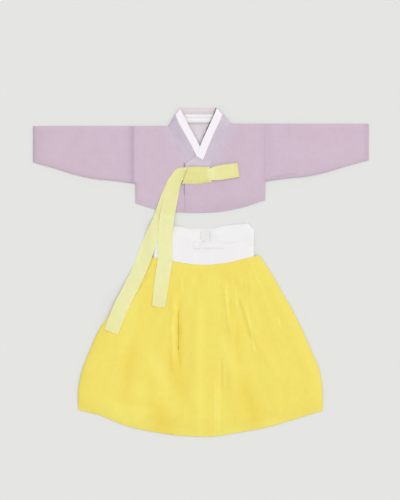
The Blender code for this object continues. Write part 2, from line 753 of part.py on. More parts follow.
def build_collar():
    over_top = OVERLAP_TOP + COLLAR_RISE
    under_top = FRONT_TOP + COLLAR_RISE
    under_rows = [y for y in UNDER_ROWS if y >= COLLAR_UNDER[0][0]]
    over_rows = [row[0] for row in COLLAR_OVER]
    under = collar_points(under_rows, COLLAR_UNDER, under_edge, COLLAR_UNDER_TIP, under_top)
    over = collar_points(over_rows, COLLAR_OVER, over_seam, COLLAR_OVER_TIP, over_top)
    cloth_piece("collar_back", collar_back_points(), LILAC_INSIDE)
    for half, collar, first in (("right", under, DONGJEONG_UNDER_ROW), ("left", over, DONGJEONG_OVER_ROW)):
        cloth_piece("collar_" + half, collar, LILAC)
        outer = moved_out(collar, DONGJEONG_GAP + RIBBON_WALL)
        inner = moved_out(collar, DONGJEONG_GAP)
        cloth_wall("dongjeong_" + half, outer[first:, 3:], inner[first:, 3:], WHITE_STRIP)
    cloth_piece("neck_label", flat_patch(*LABEL, WALL + SEAM + RIBBON_WALL), WHITE_COTTON, RIBBON_WALL)


def build_goreum():
    supports = support_points()
    long_tail = draped(ribbon_plan(TAIL_LONG, TAIL_STEP, 5), supports)
    below = np.concatenate([supports, long_tail.reshape(-1, 3)])
    short_tail = draped(ribbon_plan(TAIL_SHORT, TAIL_STEP, 5), below)
    loop = loop_points()
    cloth_piece("goreum_tail_long", long_tail, PALE_YELLOW, RIBBON_WALL)
    cloth_piece("goreum_tail_short", short_tail, PALE_YELLOW, RIBBON_WALL)
    cloth_wall("goreum_loop", loop, moved_out(loop, -RIBBON_WALL, around=True), PALE_YELLOW)
    cloth_piece("goreum_knot", knot_points(), PALE_YELLOW, RIBBON_WALL)


def build_chima():
    steps = 4 * GATHERS
    columns = np.linspace(0, 1, steps + 1)
    outer = skirt_front_points(*lattice(columns, SKIRT_ROWS))
    inner = moved_out(outer, -WALL)
    seam = round(PANEL_SEAM * steps)
    aside = np.array([SEAM / 2, 0, 0])
    for name, part, edge, shift in (
        ("chima_front_right", slice(None, seam + 1), -1, -aside),
        ("chima_front_left", slice(seam, None), 0, aside),
    ):
        panel_outer = outer[:, part].copy()
        panel_inner = inner[:, part].copy()
        panel_outer[:, edge] += shift
        panel_inner[:, edge] += shift
        cloth_wall(name, panel_outer, panel_inner, YELLOW)
    back = np.linspace(0, 1, BACK_COLUMNS + 1)
    cloth_piece("chima_back", skirt_back_points(*lattice(back, BACK_ROWS)), YELLOW)


def build_band():
    right = band_front_points(BAND_UPPER_RIGHT, BAND_EDGE_RIGHT, BAND_MEET_X - SEAM / 2, 9)
    left = band_front_points(BAND_UPPER_LEFT, BAND_MEET_X + SEAM / 2, BAND_EDGE_LEFT, 9)
    cloth_piece("band_right", right, WHITE_COTTON)
    cloth_piece("band_left", left, WHITE_COTTON)
    cloth_piece("band_back", band_back_points(), WHITE_COTTON)
    cloth_piece("band_tab", flat_patch(*TAB, BAND_TOP + SEAM + RIBBON_WALL), WHITE_COTTON, RIBBON_WALL)


def build():
    clear_scene()
    build_jeogori()
    build_collar()
    build_goreum()
    build_chima()
    build_band()


build()
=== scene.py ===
"""A child's hanbok laid flat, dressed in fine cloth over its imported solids.

Sizes are in millimetres until a mesh is made. X runs to the viewer's right, Y from the skirt's hem to
the neck and Z up from the surface. "Right" and "left" in names are the wearer's.
"""

import bmesh
import bpy
import numpy as np
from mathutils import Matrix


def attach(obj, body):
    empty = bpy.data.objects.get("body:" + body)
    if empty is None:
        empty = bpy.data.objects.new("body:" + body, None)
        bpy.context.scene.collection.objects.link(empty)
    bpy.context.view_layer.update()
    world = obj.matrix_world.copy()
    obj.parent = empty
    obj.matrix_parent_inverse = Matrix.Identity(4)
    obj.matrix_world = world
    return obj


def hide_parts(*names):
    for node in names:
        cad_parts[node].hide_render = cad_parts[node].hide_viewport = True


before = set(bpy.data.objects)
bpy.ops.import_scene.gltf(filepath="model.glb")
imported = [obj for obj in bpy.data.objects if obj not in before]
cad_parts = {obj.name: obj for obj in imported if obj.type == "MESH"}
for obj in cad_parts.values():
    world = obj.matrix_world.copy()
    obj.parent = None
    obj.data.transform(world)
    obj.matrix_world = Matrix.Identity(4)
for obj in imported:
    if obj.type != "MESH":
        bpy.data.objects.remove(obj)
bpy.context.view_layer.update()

# The whole set.
HALF_SPAN = 521.5
CUFF_LEFT = 518.8
ARMHOLE_X = -208.4
WALL = 0.7
SEAM = 0.3
EDGE_TOP = 1.7
EDGE_REACH = 16.0

# The jeogori: places of its seams, and how high its layers lie.
SIDE_RIGHT = -204.0
SIDE_LEFT = 198.0
SHOULDER_RIGHT = 453.0
SHOULDER_LEFT = 460.0
ARMHOLE_DEPTH = 178.0
OPENING_X = -52.0
FRONT_TOP = 9.0
OVERLAP_TOP = 11.2
CUFF_TOP = 8.0
COLLAR_RISE = 0.6
COLLAR_END_Y = 329.5
NECK_TOP_Y = 509.5
NECKLINE_Y = 446.0
FOLD_RIGHT = ((-101.8, 454.9), (-69.9, 508.2))
FOLD_LEFT = ((50.0, 509.0), (91.5, 460.0))

# Where the back's neckline leaves the shoulder, is down, is still down and is up again.
BACK_NECK = (-104.0, -92.0, 84.0, 96.0)

# The standing back of the collar: its ends at the seam and at the upper edge.
COLLAR_BACK_LOW = (-99.8, 90.5)
COLLAR_BACK_HIGH = (-69.3, 49.4)

# The depth of a sleeve from the shoulder to its lower edge.
SLEEVE_DEPTH = (
    # share of the way from armhole to cuff, depth
    (0, ARMHOLE_DEPTH),
    (0.2, 169.5),
    (0.4, 163),
    (0.6, 149),
    (0.8, 129.5),
    (1, 112.5),
)

JEOGORI_HEM = (
    # x, y
    (-204, 213.5),
    (-137, 194.5),
    (-77, 186.5),
    (-20, 185),
    (40, 186),
    (121, 199.5),
    (198, 223.5),
)
HEM_LOW_Y = 185.0

# The free edge of the under front, hidden up to the collar and then the collar's seam.
UNDER_EDGE = (
    # y, x
    (185, 45),
    (240, 40),
    (280, 12),
    (316, -22),
    (352.6, -52.2),
    (405.3, -83.2),
    (453, -101.8),
)

# The seam that the gore and then the over collar share with the over front.
OVER_SEAM = (
    # y, x
    (185, 9.8),
    (COLLAR_END_Y, 29.2),
    (460, 89),
)

# The collar halves, from the lower end to the fold at the neck's side. The dongjeong lies between
# the strip's edge and the neck's edge, from the row given on.
COLLAR_UNDER = (
    # seam y, strip x, strip y, neck x, neck y
    (316, 4, 326.5, 20, 335),
    (340, -16.6, 363, -5.4, 389),
    (364, -29.5, 391, -15.5, 409.5),
    (388, -42.5, 414, -28, 432),
    (412, -56.5, 438, -41, 455.5),
    (437, -69, 461, -52, 477),
    (453, -78, 481, -60.5, 494.5),
)
COLLAR_UNDER_TIP = (-80.0, 490.0, -79.3, 489.7, -66.5, 505.5)
COLLAR_OVER = (
    # seam y, strip x, strip y, neck x, neck y
    (329.5, -8, 329.5, -51.5, 329.5),
    (333, -5, 336, -51.5, 337),
    (336.5, -0.5, 341.5, -32, 349.5),
    (340, 4.5, 347.7, -15.3, 360),
    (358, 11, 362.5, -8.2, 374),
    (378, 17, 379.5, -3.6, 388.5),
    (400, 26.3, 401, 4.2, 408),
    (430, 39.8, 432.5, 18.6, 440),
    (459.5, 56.5, 467, 35, 475.5),
)
COLLAR_OVER_TIP = (66.5, 489.0, 64.8, 488.5, 48.8, 506.5)
DONGJEONG_OVER_ROW = 3

# The goreum, tied in one flat loop.
TIE_BASE = OVERLAP_TOP + 0.5
LOOP = (
    # x, y of the middle, width
    (-26, 299, 29),
    (2, 300.5, 31),
    (26, 303, 35),
    (42, 305.5, 43),
    (75, 311, 45.5),
    (113, 316, 43.5),
)
LOOP_OPEN = 3.8
LOOP_PUFF = 1.6
KNOT = (
    # x at the upper edge, y, x at the lower edge, y
    (-41, 326, -60, 273.5),
    (-22, 327, -36, 273),
    (-3, 326.5, -12, 272),
    (12, 326, 11, 276),
    (25, 326.5, 33, 279.5),
)
KNOT_RISE = 7.9
TAIL_LONG = (
    # x, y of the outer edge, x, y of the inner edge
    (-35, 322.5, -46, 286.5),
    (-52, 324.5, -57, 284),
    (-76.5, 321, -62.5, 278.5),
    (-89.5, 305, -66.5, 270),
    (-103.5, 286, -71, 257),
    (-116, 257, -75.5, 241),
    (-127.5, 230.5, -87, 213.5),
    (-149.5, 168, -108.5, 152),
    (-178.5, 106.5, -137.5, 89.5),
    (-206.5, 29.5, -165.5, 12.5),
    (-235.5, -31, -194.5, -51),
    (-269, -96.5, -227, -115.5),
    (-300.5, -176.5, -258.5, -193.5),
)
TAIL_SHORT = (
    # x, y of the outer edge, x, y of the inner edge
    (-36, 320.5, -46, 288),
    (-51, 322.5, -56.5, 285.5),
    (-73.5, 319, -61, 280),
    (-87, 303, -64, 272),
    (-100.5, 285, -66.5, 262),
    (-111.5, 256, -69.5, 244),
    (-118, 226.5, -74.5, 217.5),
    (-130, 162.5, -85, 157.5),
    (-134, 99, -89, 97),
    (-135.5, 38, -90.5, 34),
    (-144.5, -22, -99.5, -28),
    (-152.5, -104.5, -112.5, -109.5),
)
TAIL_SLOPE = 0.34
TAIL_CORE = 13.0
TAIL_CLEAR = 0.2
TAIL_STEP = 13.0
SUPPORT_STEP = 4.0

# The chima: its sides, its waist seam and its hem.
SKIRT_SIDES = (
    # y, x at the viewer's left, x at the viewer's right
    (52, -151.5, 180.3),
    (0, -188, 214),
    (-60, -231.5, 249),
    (-120, -275, 283),
    (-180, -318, 313),
    (-240, -344.5, 339),
    (-300, -368, 364.5),
    (-360, -381, 375),
    (-429, -381.5, 376),
)
WAIST_SEAM = (
    # x, y
    (-153.5, 47),
    (-65, 30.5),
    (-15, 24),
    (35, 24),
    (84, 30.5),
    (134, 42.5),
    (180.3, 52.5),
)
SKIRT_HEM = (
    # x, y
    (-381.5, -425.5),
    (-313, -444),
    (-238, -474),
    (-139, -496.5),
    (-30, -508.5),
    (35, -509),
    (109, -498),
    (208, -479),
    (307, -450),
    (376, -428.5),
)
GATHERS = 25
PANEL_SEAM = 14 / GATHERS
SKIRT_REACH = 34.0
GATHER_SIZES = (
    # share of the way down, height of the skirt, of the gathers, of the broad folds
    (0, 9.6, 0.8, 0),
    (0.04, 10.6, 2, 0.3),
    (0.12, 13, 2.3, 1),
    (0.24, 14.5, 1.2, 2.3),
    (0.42, 15, 0.4, 2.5),
    (0.7, 15.5, 0, 1.6),
    (1, 16, 0, 1.4),
)
BACK_RISE = 0.9
BACK_GATHER = 0.5
BACK_FLAT_SIDE = 6.0

# The gathers lie a little unevenly: how far they sway, and how their height varies.
SKIRT_SWAY = 0.006
SWAY_RATE = 31.0
UNEVEN_RATE = 47.0
SIDE_SLANT = 0.85
FOLD_RUNOUT = 2.5

# The front's largest folds, as soft ridges, and troughs where the height is negative.
SKIRT_FOLDS = (
    # x, y where it starts, x, y where it ends, height, half width
    (-71, -94, -72, -181, -3.6, 8),
    (-72, -181, -68, -289, -3.6, 8),
    (-86, -94, -87, -295, 3.2, 9),
    (-90, -303, -192, -388, 2.6, 15),
    (-9, -72, -9, -500, 3, 15),
    (-50, -318, -55, -345, -2.6, 17),
    (-95, -425, -110, -500, -3.4, 34),
    (62, -286, 62, -357, -3.2, 8),
    (72, -57, 92, -175, 2.6, 10),
    (92, -175, 94, -348, 2.8, 11),
    (108, -360, 125, -455, 2.4, 20),
    (115, -100, 147, -196, -2.6, 8),
    (131, -106, 160, -190, 2.6, 10),
    (160, -190, 233, -315, 2.6, 12),
    (154, -372, 156, -460, -3, 22),
    (218, -330, 226, -390, 2.4, 18),
    (-266, -283, -295, -365, 2.6, 15),
    (-226, -260, -236, -330, -2.4, 16),
)

# The waistband.
BAND_TOP = 9.2
BAND_EDGE_RIGHT = -150.0
BAND_EDGE_LEFT = 163.5
BAND_MEET_X = 4.0
NOTCH_FOOT_Y = 92.0
NOTCH_SHARE = 0.52
NOTCH_SPREAD = 0.16
BAND_UPPER_RIGHT = (
    # x, y
    (-150, 146),
    (-82, 143),
    (-59, 141),
    (-30.5, 131),
    (-3.6, 130.5),
)
BAND_UPPER_LEFT = (
    # x, y
    (27, 128.5),
    (45, 137.5),
    (60, 142.5),
    (93.5, 147),
    (125, 149),
    (136, 151.5),
    (148, 150),
    (163.5, 128),
)
BAND_BACK_TOP = 136.0

# Flat patches, as the x and y of the lower corner, the width and the height.
TAB = (-25.0, 74.5, 20.0, 18.0)
LABEL = (-53.0, 464.5, 89.0, 24.5)


# How finely the cloth is made: the steps from an edge inwards, and the steps inside a panel.
EDGE_PLACES = (0.0, 0.9, 2.0, 3.4, 5.2, 7.6, 10.6, 14.0, 17.5)
SEAM_PLACES = (0.0, 0.6, 1.3, 2.2, 3.4, 5.2, 7.6)
PANEL_STEP = 3.0
CLOTH = 0.6
RIBBON = 0.4
STRIP_CLEAR = 0.15

# The gap between pieces along a seam, and the groove that the seam draws the cloth into.
JOIN = 0.01
GROOVE = 0.2
GROOVE_WIDTH = 1.1

# The free edges of the cloth, which come down gently and are round.
HEM_CURVE = 1.6
ROUND_SHARE = 0.35
ROUND_EDGE = 0.35
ROUND_NEXT = 0.85
HEM_REST = 1.7
HEM_REACH = 48.0
OVER_HEM_REST = 2.6
CUFF_REST = 1.9
CUFF_REACH = 34.0
UNDER_REACH = 2.0
GORE_CLEAR = 0.12
GORE_REACH = 9.0
GORE_LIFT = 1.2
GORE_LIFT_Y = 215.0
GORE_LIFT_RUN = 55.0
SKIRT_REST = 1.9
SKIRT_HEM_REACH = 60.0
BACK_HEM_REACH = 30.0
BAND_REST = 1.5
BAND_REACH = 30.0

# The stitches: their length, gap and thickness, and the rows and points that they follow.
STITCH_LONG = 2.6
STITCH_GAP = 1.2
STITCH_THICK = 0.2
STITCH_FLAT = 0.8
STITCH_STEPS = 5
STITCH_SIDES = 6
HEM_ROW = 7
CUFF_ROW = -8
CUFF_POINTS = 56
SKIRT_HEM_ROW = -9
BAND_ROW = -5
WAIST_ROW = 5

# The unevenness of each cloth: where its waves start, how long and how high they are.
RIPPLE_WAVES = 14
JEOGORI_RIPPLES = ((11, 70.0, 0.2), (12, 26.0, 0.05))
BACK_RIPPLE = (13, 34.0, 0.1)
PATCH_RIPPLE = (41, 22.0, 0.1)
SKIRT_RIPPLE = (21, 90.0, 0.35)
STREAK_RIPPLE = (22, 26.0, 0.16)
STREAK_WIDE = 900.0
STREAK_LONG = 0.12
BAND_RIPPLE = (31, 45.0, 0.16)
RIBBON_RIPPLE = (34.0, 0.2)
RELIEF_REACH = 14.0

# How finely the large pieces are made.
SLEEVE_COLUMNS = 44
SLEEVE_UNDER_COLUMNS = 12
BACK_STEP = 5.0
SHADED_X = (-56.0, 44.0)
SHADED_STEP = 1.3
SHADED_SHARE = 0.72
STRIP_COLUMNS = 13
RIBBON_COLUMNS = 25
LABEL_STEP = 1.2
TAB_STEP = 1.5
BAND_STEP = 2.4
BAND_LOW_PLACES = (0.0, 0.006, 0.012, 0.02, 0.032)
BAND_HIGH_PLACES = (0.0, 0.008, 0.018, 0.032)
KNOT_PLACES = (0.0, 0.012, 0.03, 0.055, 0.085)
SKIRT_EDGE = (0.0, 0.0012, 0.003, 0.0055, 0.009, 0.0135, 0.019, 0.026, 0.034)
WAIST_SHARE = 0.12
SKIRT_LENGTH = 540.0
GATHER_SOFT = 0.08
FOLD_SOFT = 0.3

# The collar's forms, and the painted light line and the cooler hue of the fronts beside its seam.
COLLAR_WIDTH = 50.0
COLLAR_FALL = 1.3
COLLAR_FALL_REACH = 12.0
COLLAR_FALL_Y = 352.0
UNDER_STRIP_Y = 329.0
STRIP_WRAP = (1.012, 1.024, 1.034)
STRIP_FALL = (0.3, 0.9, 1.7)
SEAM_LIGHT = 0.35
SEAM_LIGHT_WIDTH = 2.2
SEAM_COOL = 0.6
SEAM_COOL_WIDTH = 22.0

# The ribbon's forms.
RIBBON_HEM = 4.0
RIBBON_HEM_RISE = 0.2
KNOT_SOFT = 16.0
KNOT_CURVE = 1.8
LOOP_FALL = 1.4
LOOP_EDGE = 9.0
# Where the loop's painted light ends, and where its painted shade towards the folded end begins.
LOOP_LIT_X = 44.0
LOOP_DIM_X = 98.0

# The notch in the band's upper edge: its middle, half its width and its foot.
NOTCH_X = 13.0
NOTCH_HALF = 12.0
NOTCH_BASE = 98.0

# The weave, in metres or in turns to the metre, and how far its colour and gloss vary.
METRES = 0.001
THREAD = 0.0005
SLUB_SIZES = ((900.0, 22.0, 1.0), (22.0, 900.0, 1.0))
BROAD_CLOUDS = (9.0, 4.0, 0.55)
SMALL_CLOUDS = (55.0, 3.0, 0.5)
DRIFT_SIZES = (6.0, 8.0, 8.0)
MOTTLE = 0.5
SLUB_TONE = 0.25
BASE_TONE = 0.7
WEAVE_STRENGTH = 0.35
SLUB_STRENGTH = 0.4
SLUB_DEPTH = 0.0002
ROUGH_RANGE = 0.16
ROUGH_LEAST = 0.56

# The stage: the floor, the light, and the camera over the middle of the picture.
FLOOR_HALF = 6.0
FLOOR_Z = -0.0003
FLOOR_COLOUR = (229, 230, 227)
SKY_STRENGTH = 0.8
KEY_STRENGTH = 0.75
KEY_SPREAD = 52.0
KEY_TILT = (-22.0, 26.0, 0.0)
PIXEL = 3.1
PHOTO_ROWS = 500
PHOTO_CENTRE = (-4.2, 69.0)
CAMERA_HEIGHT = 6.0

ALL_EDGES = ("first", "last", "left", "right")

SKIRT_FLAT = 0.8
PIECES = {
    # name: node, fabric, flat size in metres, its area, how it is held, what it rests on
    "front_right": ("jeogori_front_right", "lilac_silk", (0.26, 0.29), 0.055, "laid", ["back"]),
    "front_left": ("jeogori_front_left", "lilac_silk", (0.21, 0.29), 0.045, "laid", ["front_right"]),
    "gore_left": ("jeogori_gore_left", "lilac_silk", (0.082, 0.145), 0.0103, "laid", ["front_right"]),
    "back": ("jeogori_back", "lilac_inside", (0.404, 0.275), 0.102, "laid", []),
    "sleeve_right": ("jeogori_sleeve_right", "lilac_silk", (0.37, 0.325), 0.1, "laid", []),
    "sleeve_left": ("jeogori_sleeve_left", "lilac_silk", (0.37, 0.325), 0.1, "laid", []),
    "collar_cloth_right": ("collar_right", "lilac_silk", (0.075, 0.24), 0.012, "laid", ["front_right"]),
    "strip_right": (
        "dongjeong_right", "white_strip", (0.027, 0.175), 0.0042, "folded", ["collar_cloth_right"],
    ),
    "collar_cloth_left": ("collar_left", "lilac_silk", (0.075, 0.24), 0.012, "laid", ["front_left"]),
    "strip_left": ("dongjeong_left", "white_strip", (0.027, 0.175), 0.0042, "folded", ["collar_cloth_left"]),
    "collar_cloth_back": ("collar_back", "lilac_inside", (0.19, 0.064), 0.0095, "laid", []),
    "label": ("neck_label", "white_cotton", (0.089, 0.0245), None, "laid", ["collar_cloth_back"]),
    "tail_long": (
        "goreum_tail_long", "pale_yellow_ribbon", (0.045, 0.6), None, "draped",
        ["front_right", "skirt_front_right"],
    ),
    "tail_short": (
        "goreum_tail_short", "pale_yellow_ribbon", (0.045, 0.44), None, "draped",
        ["tail_long", "skirt_front_right"],
    ),
    "loop": ("goreum_loop", "pale_yellow_ribbon", (0.043, 0.3), None, "folded", ["gore_left", "front_left"]),
    "knot": ("goreum_knot", "pale_yellow_ribbon", (0.06, 0.08), None, "folded", ["loop"]),
    "skirt_front_right": (
        "chima_front_right", "yellow_silk", (0.42, 0.56), SKIRT_FLAT * 0.42 * 0.56, "gathered", ["skirt_back"],
    ),
    "skirt_front_left": (
        "chima_front_left", "yellow_silk", (0.34, 0.56), SKIRT_FLAT * 0.34 * 0.56, "gathered", ["skirt_back"],
    ),
    "skirt_back": ("chima_back", "yellow_silk", (0.76, 0.56), SKIRT_FLAT * 0.76 * 0.56, "gathered", []),
    "waistband_right": ("band_right", "white_cotton", (0.155, 0.115), None, "laid", ["waistband_back"]),
    "waistband_left": ("band_left", "white_cotton", (0.16, 0.12), None, "laid", ["waistband_back"]),
    "waistband_back": ("band_back", "white_cotton", (0.314, 0.1), None, "laid", []),
    "waistband_tab": ("band_tab", "white_cotton", (0.02, 0.018), None, "laid", ["waistband_right"]),
}

# Creases that the jacket's cloth keeps.
JEOGORI_FOLDS = (
    # x, y where it starts, x, y where it ends, height, half width
    (-190, 286, -150, 302, 0.5, 9),
    (184, 292, 140, 308, 0.5, 9),
    (-60, 205, -62, 262, -0.5, 5),
    (236, 298, 282, 303, -1.1, 3.2),
)

# Painted shade and painted light on the jacket's fronts and gore: beside the armhole seam, in a crease, along
# the opening and at its upper end, and in broad patches near the hem.
JEOGORI_PAINTED_SHADING = (
    # x, y where it starts, x, y where it ends, tone, half width
    (200, 300, 200, 458, -0.25, 14),
    (199, 318, 199, 332, -0.5, 3),
    (236, 298, 282, 303, -0.5, 3.2),
    (-52, 185, -52, 270, -0.15, 20),
    (-52.6, 334, -52.6, 326, -2.4, 2.1),
    (-46, 333, -46, 327, 0.6, 3),
    (-52.8, 279, -52.8, 240, -1.5, 1.6),
    (-56, 205, -54, 240, 0.3, 3),
    (-170, 225, -110, 200, 0.25, 20),
    (140, 200, 20, 190, -0.15, 16),
)

# Painted shade beside both armhole seams, at both cuffs, broadly towards the right sleeve's cuff and in a
# crease, and a broad painted light on the left sleeve.
SLEEVE_PAINTED_SHADING = (
    # x, y where it starts, x, y where it ends, tone, half width
    (-209, 290, -209, 452, -0.35, 2.6),
    (-214, 290, -214, 452, -0.75, 8),
    (-226, 290, -226, 452, -0.15, 13),
    (210, 300, 210, 458, -0.2, 14),
    (-519, 340, -519, 455, -0.7, 5),
    (-500, 350, -500, 440, -0.2, 40),
    (513, 350, 513, 455, -0.5, 10),
    (236, 298, 282, 303, -0.5, 3.2),
    (300, 380, 480, 390, 0.15, 50),
)

# The line along which the over collar's edge shades the back.
NECK_SHADE = (
    # x, y where it starts, x, y where it ends, tone, half width
    (45.2, 509, 40.9, 494, -4.6, 1.7),
    (40.9, 494, 27.2, 464, -3.6, 1.6),
    (27.2, 464, 18.8, 446, -5.6, 1.7),
    (18.8, 446, 8.8, 424, -4.2, 1.6),
    (8.8, 424, -4.6, 392, -2.6, 1.5),
    (-46, 461, 26, 461, -1.4, 3.2),
    (-60, 491.5, 32, 491.5, -0.45, 4),
    (-8, 418, -4, 408, 0.5, 9),
)

# Painted shade and painted light on the collar halves: broad shade high on the right half, painted shadows at
# the under strip's lower end and at the top of the opening, and painted light along the left half's lower edge
# and beside its strip.
COLLAR_PAINTED_SHADING = (
    # x, y where it starts, x, y where it ends, tone, half width
    (-84, 462, -66, 422, -0.45, 16),
    (-23.2, 371.2, -16.6, 355.7, -1.4, 1.5),
    (-20, 338, 10, 336, 0.3, 9),
    (-46, 333, -19, 353, 0.4, 3),
    (62, 470, 74, 462, 0.3, 10),
    (-52, 334, -52, 328, -2.2, 1.7),
)

LABEL_LINES = (
    # x, y where it starts, x, y where it ends, height, half width
    (-46, 479.8, 30, 479.8, -0.35, 1.3),
    (-46, 468, 22, 468, -0.22, 1.3),
)

# Narrow creases and ridges between the broad folds of the front.
SKIRT_CREASES = (
    # x, y where it starts, x, y where it ends, height, half width
    (-69, -95, -71.4, -140, -0.9, 2.4),
    (-71.4, -140, -71.8, -232, -1.7, 2.2),
    (-71.8, -232, -67, -285, -0.9, 2.4),
    (-59, -45, -58, -60, 0.5, 2.2),
    (-80, -100, -82, -116, 0.6, 2.6),
    (-53, -40, -53.5, -62, -0.6, 3),
    (-49, -80, -49.5, -98, -0.6, 3),
    (-38, -75, -37.5, -92, 0.5, 2.6),
    (43, -48, 43.5, -64, 0.6, 2.2),
    (52, -112, 53, -136, 0.6, 2.2),
    (75, -56, 78, -90, 0.9, 3),
    (78, -90, 84, -140, 0.6, 3),
    (88.8, -86, 92.6, -125, -1.6, 2.8),
    (92.6, -125, 95.6, -170, -1, 2.8),
    (92, -14, 99, -45, 0.7, 3.2),
    (105, -58, 109, -98, 0.9, 3),
    (122, -24, 124, -38, 0.6, 3),
    (116, -86, 123, -112, -0.8, 3),
    (123, -112, 137, -190, -0.8, 3.4),
    (137, -112, 146, -152, 0.9, 3.6),
    (146, -152, 163, -240, 1, 4),
    (145.5, -38, 146.5, -62, -0.9, 2.8),
    (156, -36, 157, -58, 0.6, 3),
    (240, -148, 244, -166, 0.8, 3),
    (61.6, -284, 62, -356, -0.7, 2.8),
    (69.5, -276, 70, -348, 0.9, 3.4),
    (41.3, -336, 41, -505, 0.5, 1.6),
)

# Painted shade in the skirt's creases and troughs, painted highlights along its ridges, and broad painted
# light and shade across it.
SKIRT_PAINTED_SHADING = (
    # x, y where it starts, x, y where it ends, tone, half width
    (-71, -125, -71.6, -235, -1.05, 2.3),
    (-71.6, -235, -67, -290, -0.6, 2.3),
    (-84, -140, -89.5, -175, 0.4, 4),
    (-60, -14, -58.5, -56, 0.5, 2.4),
    (-80, -100, -79, -116, 0.6, 2.4),
    (-37.5, -75, -36.5, -90, 0.5, 2.4),
    (92, -14, 99, -45, 0.45, 2.8),
    (122, -24, 124, -38, 0.4, 2.8),
    (52, -112, 53, -136, 0.4, 2.2),
    (156, -36, 157, -58, 0.4, 2.8),
    (238, -146, 243, -166, 0.8, 2.8),
    (-87.5, -175, -86, -262, 0.5, 5),
    (-62, -170, -62, -250, -0.25, 9),
    (4, -25, 4, -75, -0.35, 12),
    (0, 12, 0, 20, 0.15, 60),
    (134, 0, 142, -45, -0.1, 14),
    (78, -10, 100, -30, -0.25, 18),
    (89, -88, 95, -168, -0.15, 2.8),
    (117, -86, 136, -190, -0.1, 3.4),
    (76, -58, 83, -138, 0.55, 2.6),
    (105, -58, 109, -98, 0.6, 2.6),
    (137, -112, 146, -152, 0.5, 3),
    (146, -152, 163, -240, 0.3, 3.6),
    (146, -60, 145.5, -40, -0.4, 3),
    (150, -165, 163, -235, 0.3, 5),
    (-205, -100, -232, -215, 0.3, 20),
    (-138, -290, -124, -325, 0.45, 22),
    (-160, -375, -142, -385, 0.4, 26),
    (-262, -425, -200, -432, 0.35, 24),
    (70, -210, 84, -262, 0.45, 13),
    (108, -200, 114, -262, -0.3, 8),
    (-77, -305, -64, -345, -0.4, 22),
    (-130, -430, -110, -490, -0.6, 34),
    (-240, -455, 0, -515, 0.3, 16),
    (20, -515, 250, -460, 0.3, 16),
    (-226, -265, -232, -330, -0.4, 22),
    (140, -370, 160, -450, -0.5, 24),
    (61.8, -284, 62, -356, -0.2, 2.8),
    (70, -280, 70, -350, 0.4, 3.2),
    (-9, -100, -9, -480, 0.25, 14),
    (52, -370, 53, -480, 0.35, 7),
    (41.4, -336, 41.2, -505, 0.6, 1.4),
)

BAND_FOLDS = (
    # x, y where it starts, x, y where it ends, height, half width
    (-22, 73.4, 65, 73.4, -0.7, 2.2),
    (8, 71, 34, 74.5, -0.5, 2.2),
    (40, 84.5, 62, 88, -0.3, 2.2),
    (62, 88.2, 106, 92.4, -0.6, 2),
    (62.5, 88, 79, 93, -0.4, 2),
    (-20.3, 111, -11, 103.4, -0.6, 2.4),
    (93.5, 141.8, 83, 124, -0.5, 2.6),
    (-140, 60, 150, 62, -0.25, 2),
)
# Painted shade in the notch, in the band's creases and along the tab's sides, and a painted light at its right
# foot.
BAND_PAINTED_SHADING = (
    # x, y where it starts, x, y where it ends, tone, half width
    (14, 142, 14, 112, -0.6, 15),
    (-22, 73.4, 65, 73.4, -0.5, 2.2),
    (12, 73.2, 36, 75, -0.7, 2.2),
    (70, 89, 106, 92.4, -0.7, 2),
    (-22, 92, -22, 76, -0.5, 2),
    (-5, 92, -5, 76, -0.5, 2),
    (-149, 48, -146, 72, 0.9, 5),
)

# Painted light on the knot, and painted shade and painted light on the tails.
KNOT_PAINTED_LIGHT = (
    # x, y where it starts, x, y where it ends, tone, half width
    (-41, 322, -57, 284, 0.1, 5),
    (-52, 277.5, -20, 276.5, 0.5, 2.6),
    (22, 318, 28, 288, 0.4, 6),
)
TAIL_PAINTED_SHADING = (
    # x, y where it starts, x, y where it ends, tone, half width
    (-50, 322, -63, 288, -0.15, 9),
    (-80, 317, -100, 286, 0.35, 4),
    (-122, 192, -127, 123, 0.3, 2.6),
)


def smooth_curve(rows):
    """A function that runs smoothly through (place, value) rows, for rising places."""
    place, value = np.array(sorted(rows), float).T
    slope = np.gradient(value, place)

    def read(at):
        at = np.clip(np.asarray(at, float), place[0], place[-1])
        k = np.clip(np.searchsorted(place, at, side="right") - 1, 0, len(place) - 2)
        span = place[k + 1] - place[k]
        t = (at - place[k]) / span
        ends = value[k] * (1 + 2 * t) * (1 - t) ** 2 + value[k + 1] * t**2 * (3 - 2 * t)
        bends = slope[k] * t * (1 - t) ** 2 - slope[k + 1] * t**2 * (1 - t)
        return ends + span * bends

    return read


def crown(distance, reach=EDGE_REACH):
    """How far a cloth has risen, from 0 at its edge to 1 at the reach, as a quarter ellipse."""
    t = np.clip(np.asarray(distance, float) / reach, 0, 1)
    return np.sqrt(1 - (1 - t) ** 2)


def lofted(distance, top, reach=EDGE_REACH):
    return EDGE_TOP + (top - EDGE_TOP) * crown(distance, reach)


def hem_drop(height, distance, low, reach):
    """The height of a cloth that comes down gently to its free edge."""
    return low + (height - low) * (1 - (1 - np.clip(distance / reach, 0, 1)) ** HEM_CURVE)


def line_distance(x, y, line):
    """The distance of a point from a line, positive on its right-hand side."""
    (ax, ay), (bx, by) = line
    return ((x - ax) * (by - ay) - (y - ay) * (bx - ax)) / np.hypot(bx - ax, by - ay)


def lattice(columns, rows):
    return np.meshgrid(np.asarray(columns, float), np.asarray(rows, float))


def between(left, right, share):
    """A grid of points from a left edge to a right edge, each a list of (x, y) rows."""
    share = np.asarray(share, float)[None, :, None]
    return left[:, None, :] * (1 - share) + right[:, None, :] * share


def with_height(plan, height):
    return np.concatenate([plan, height[..., None]], axis=2)


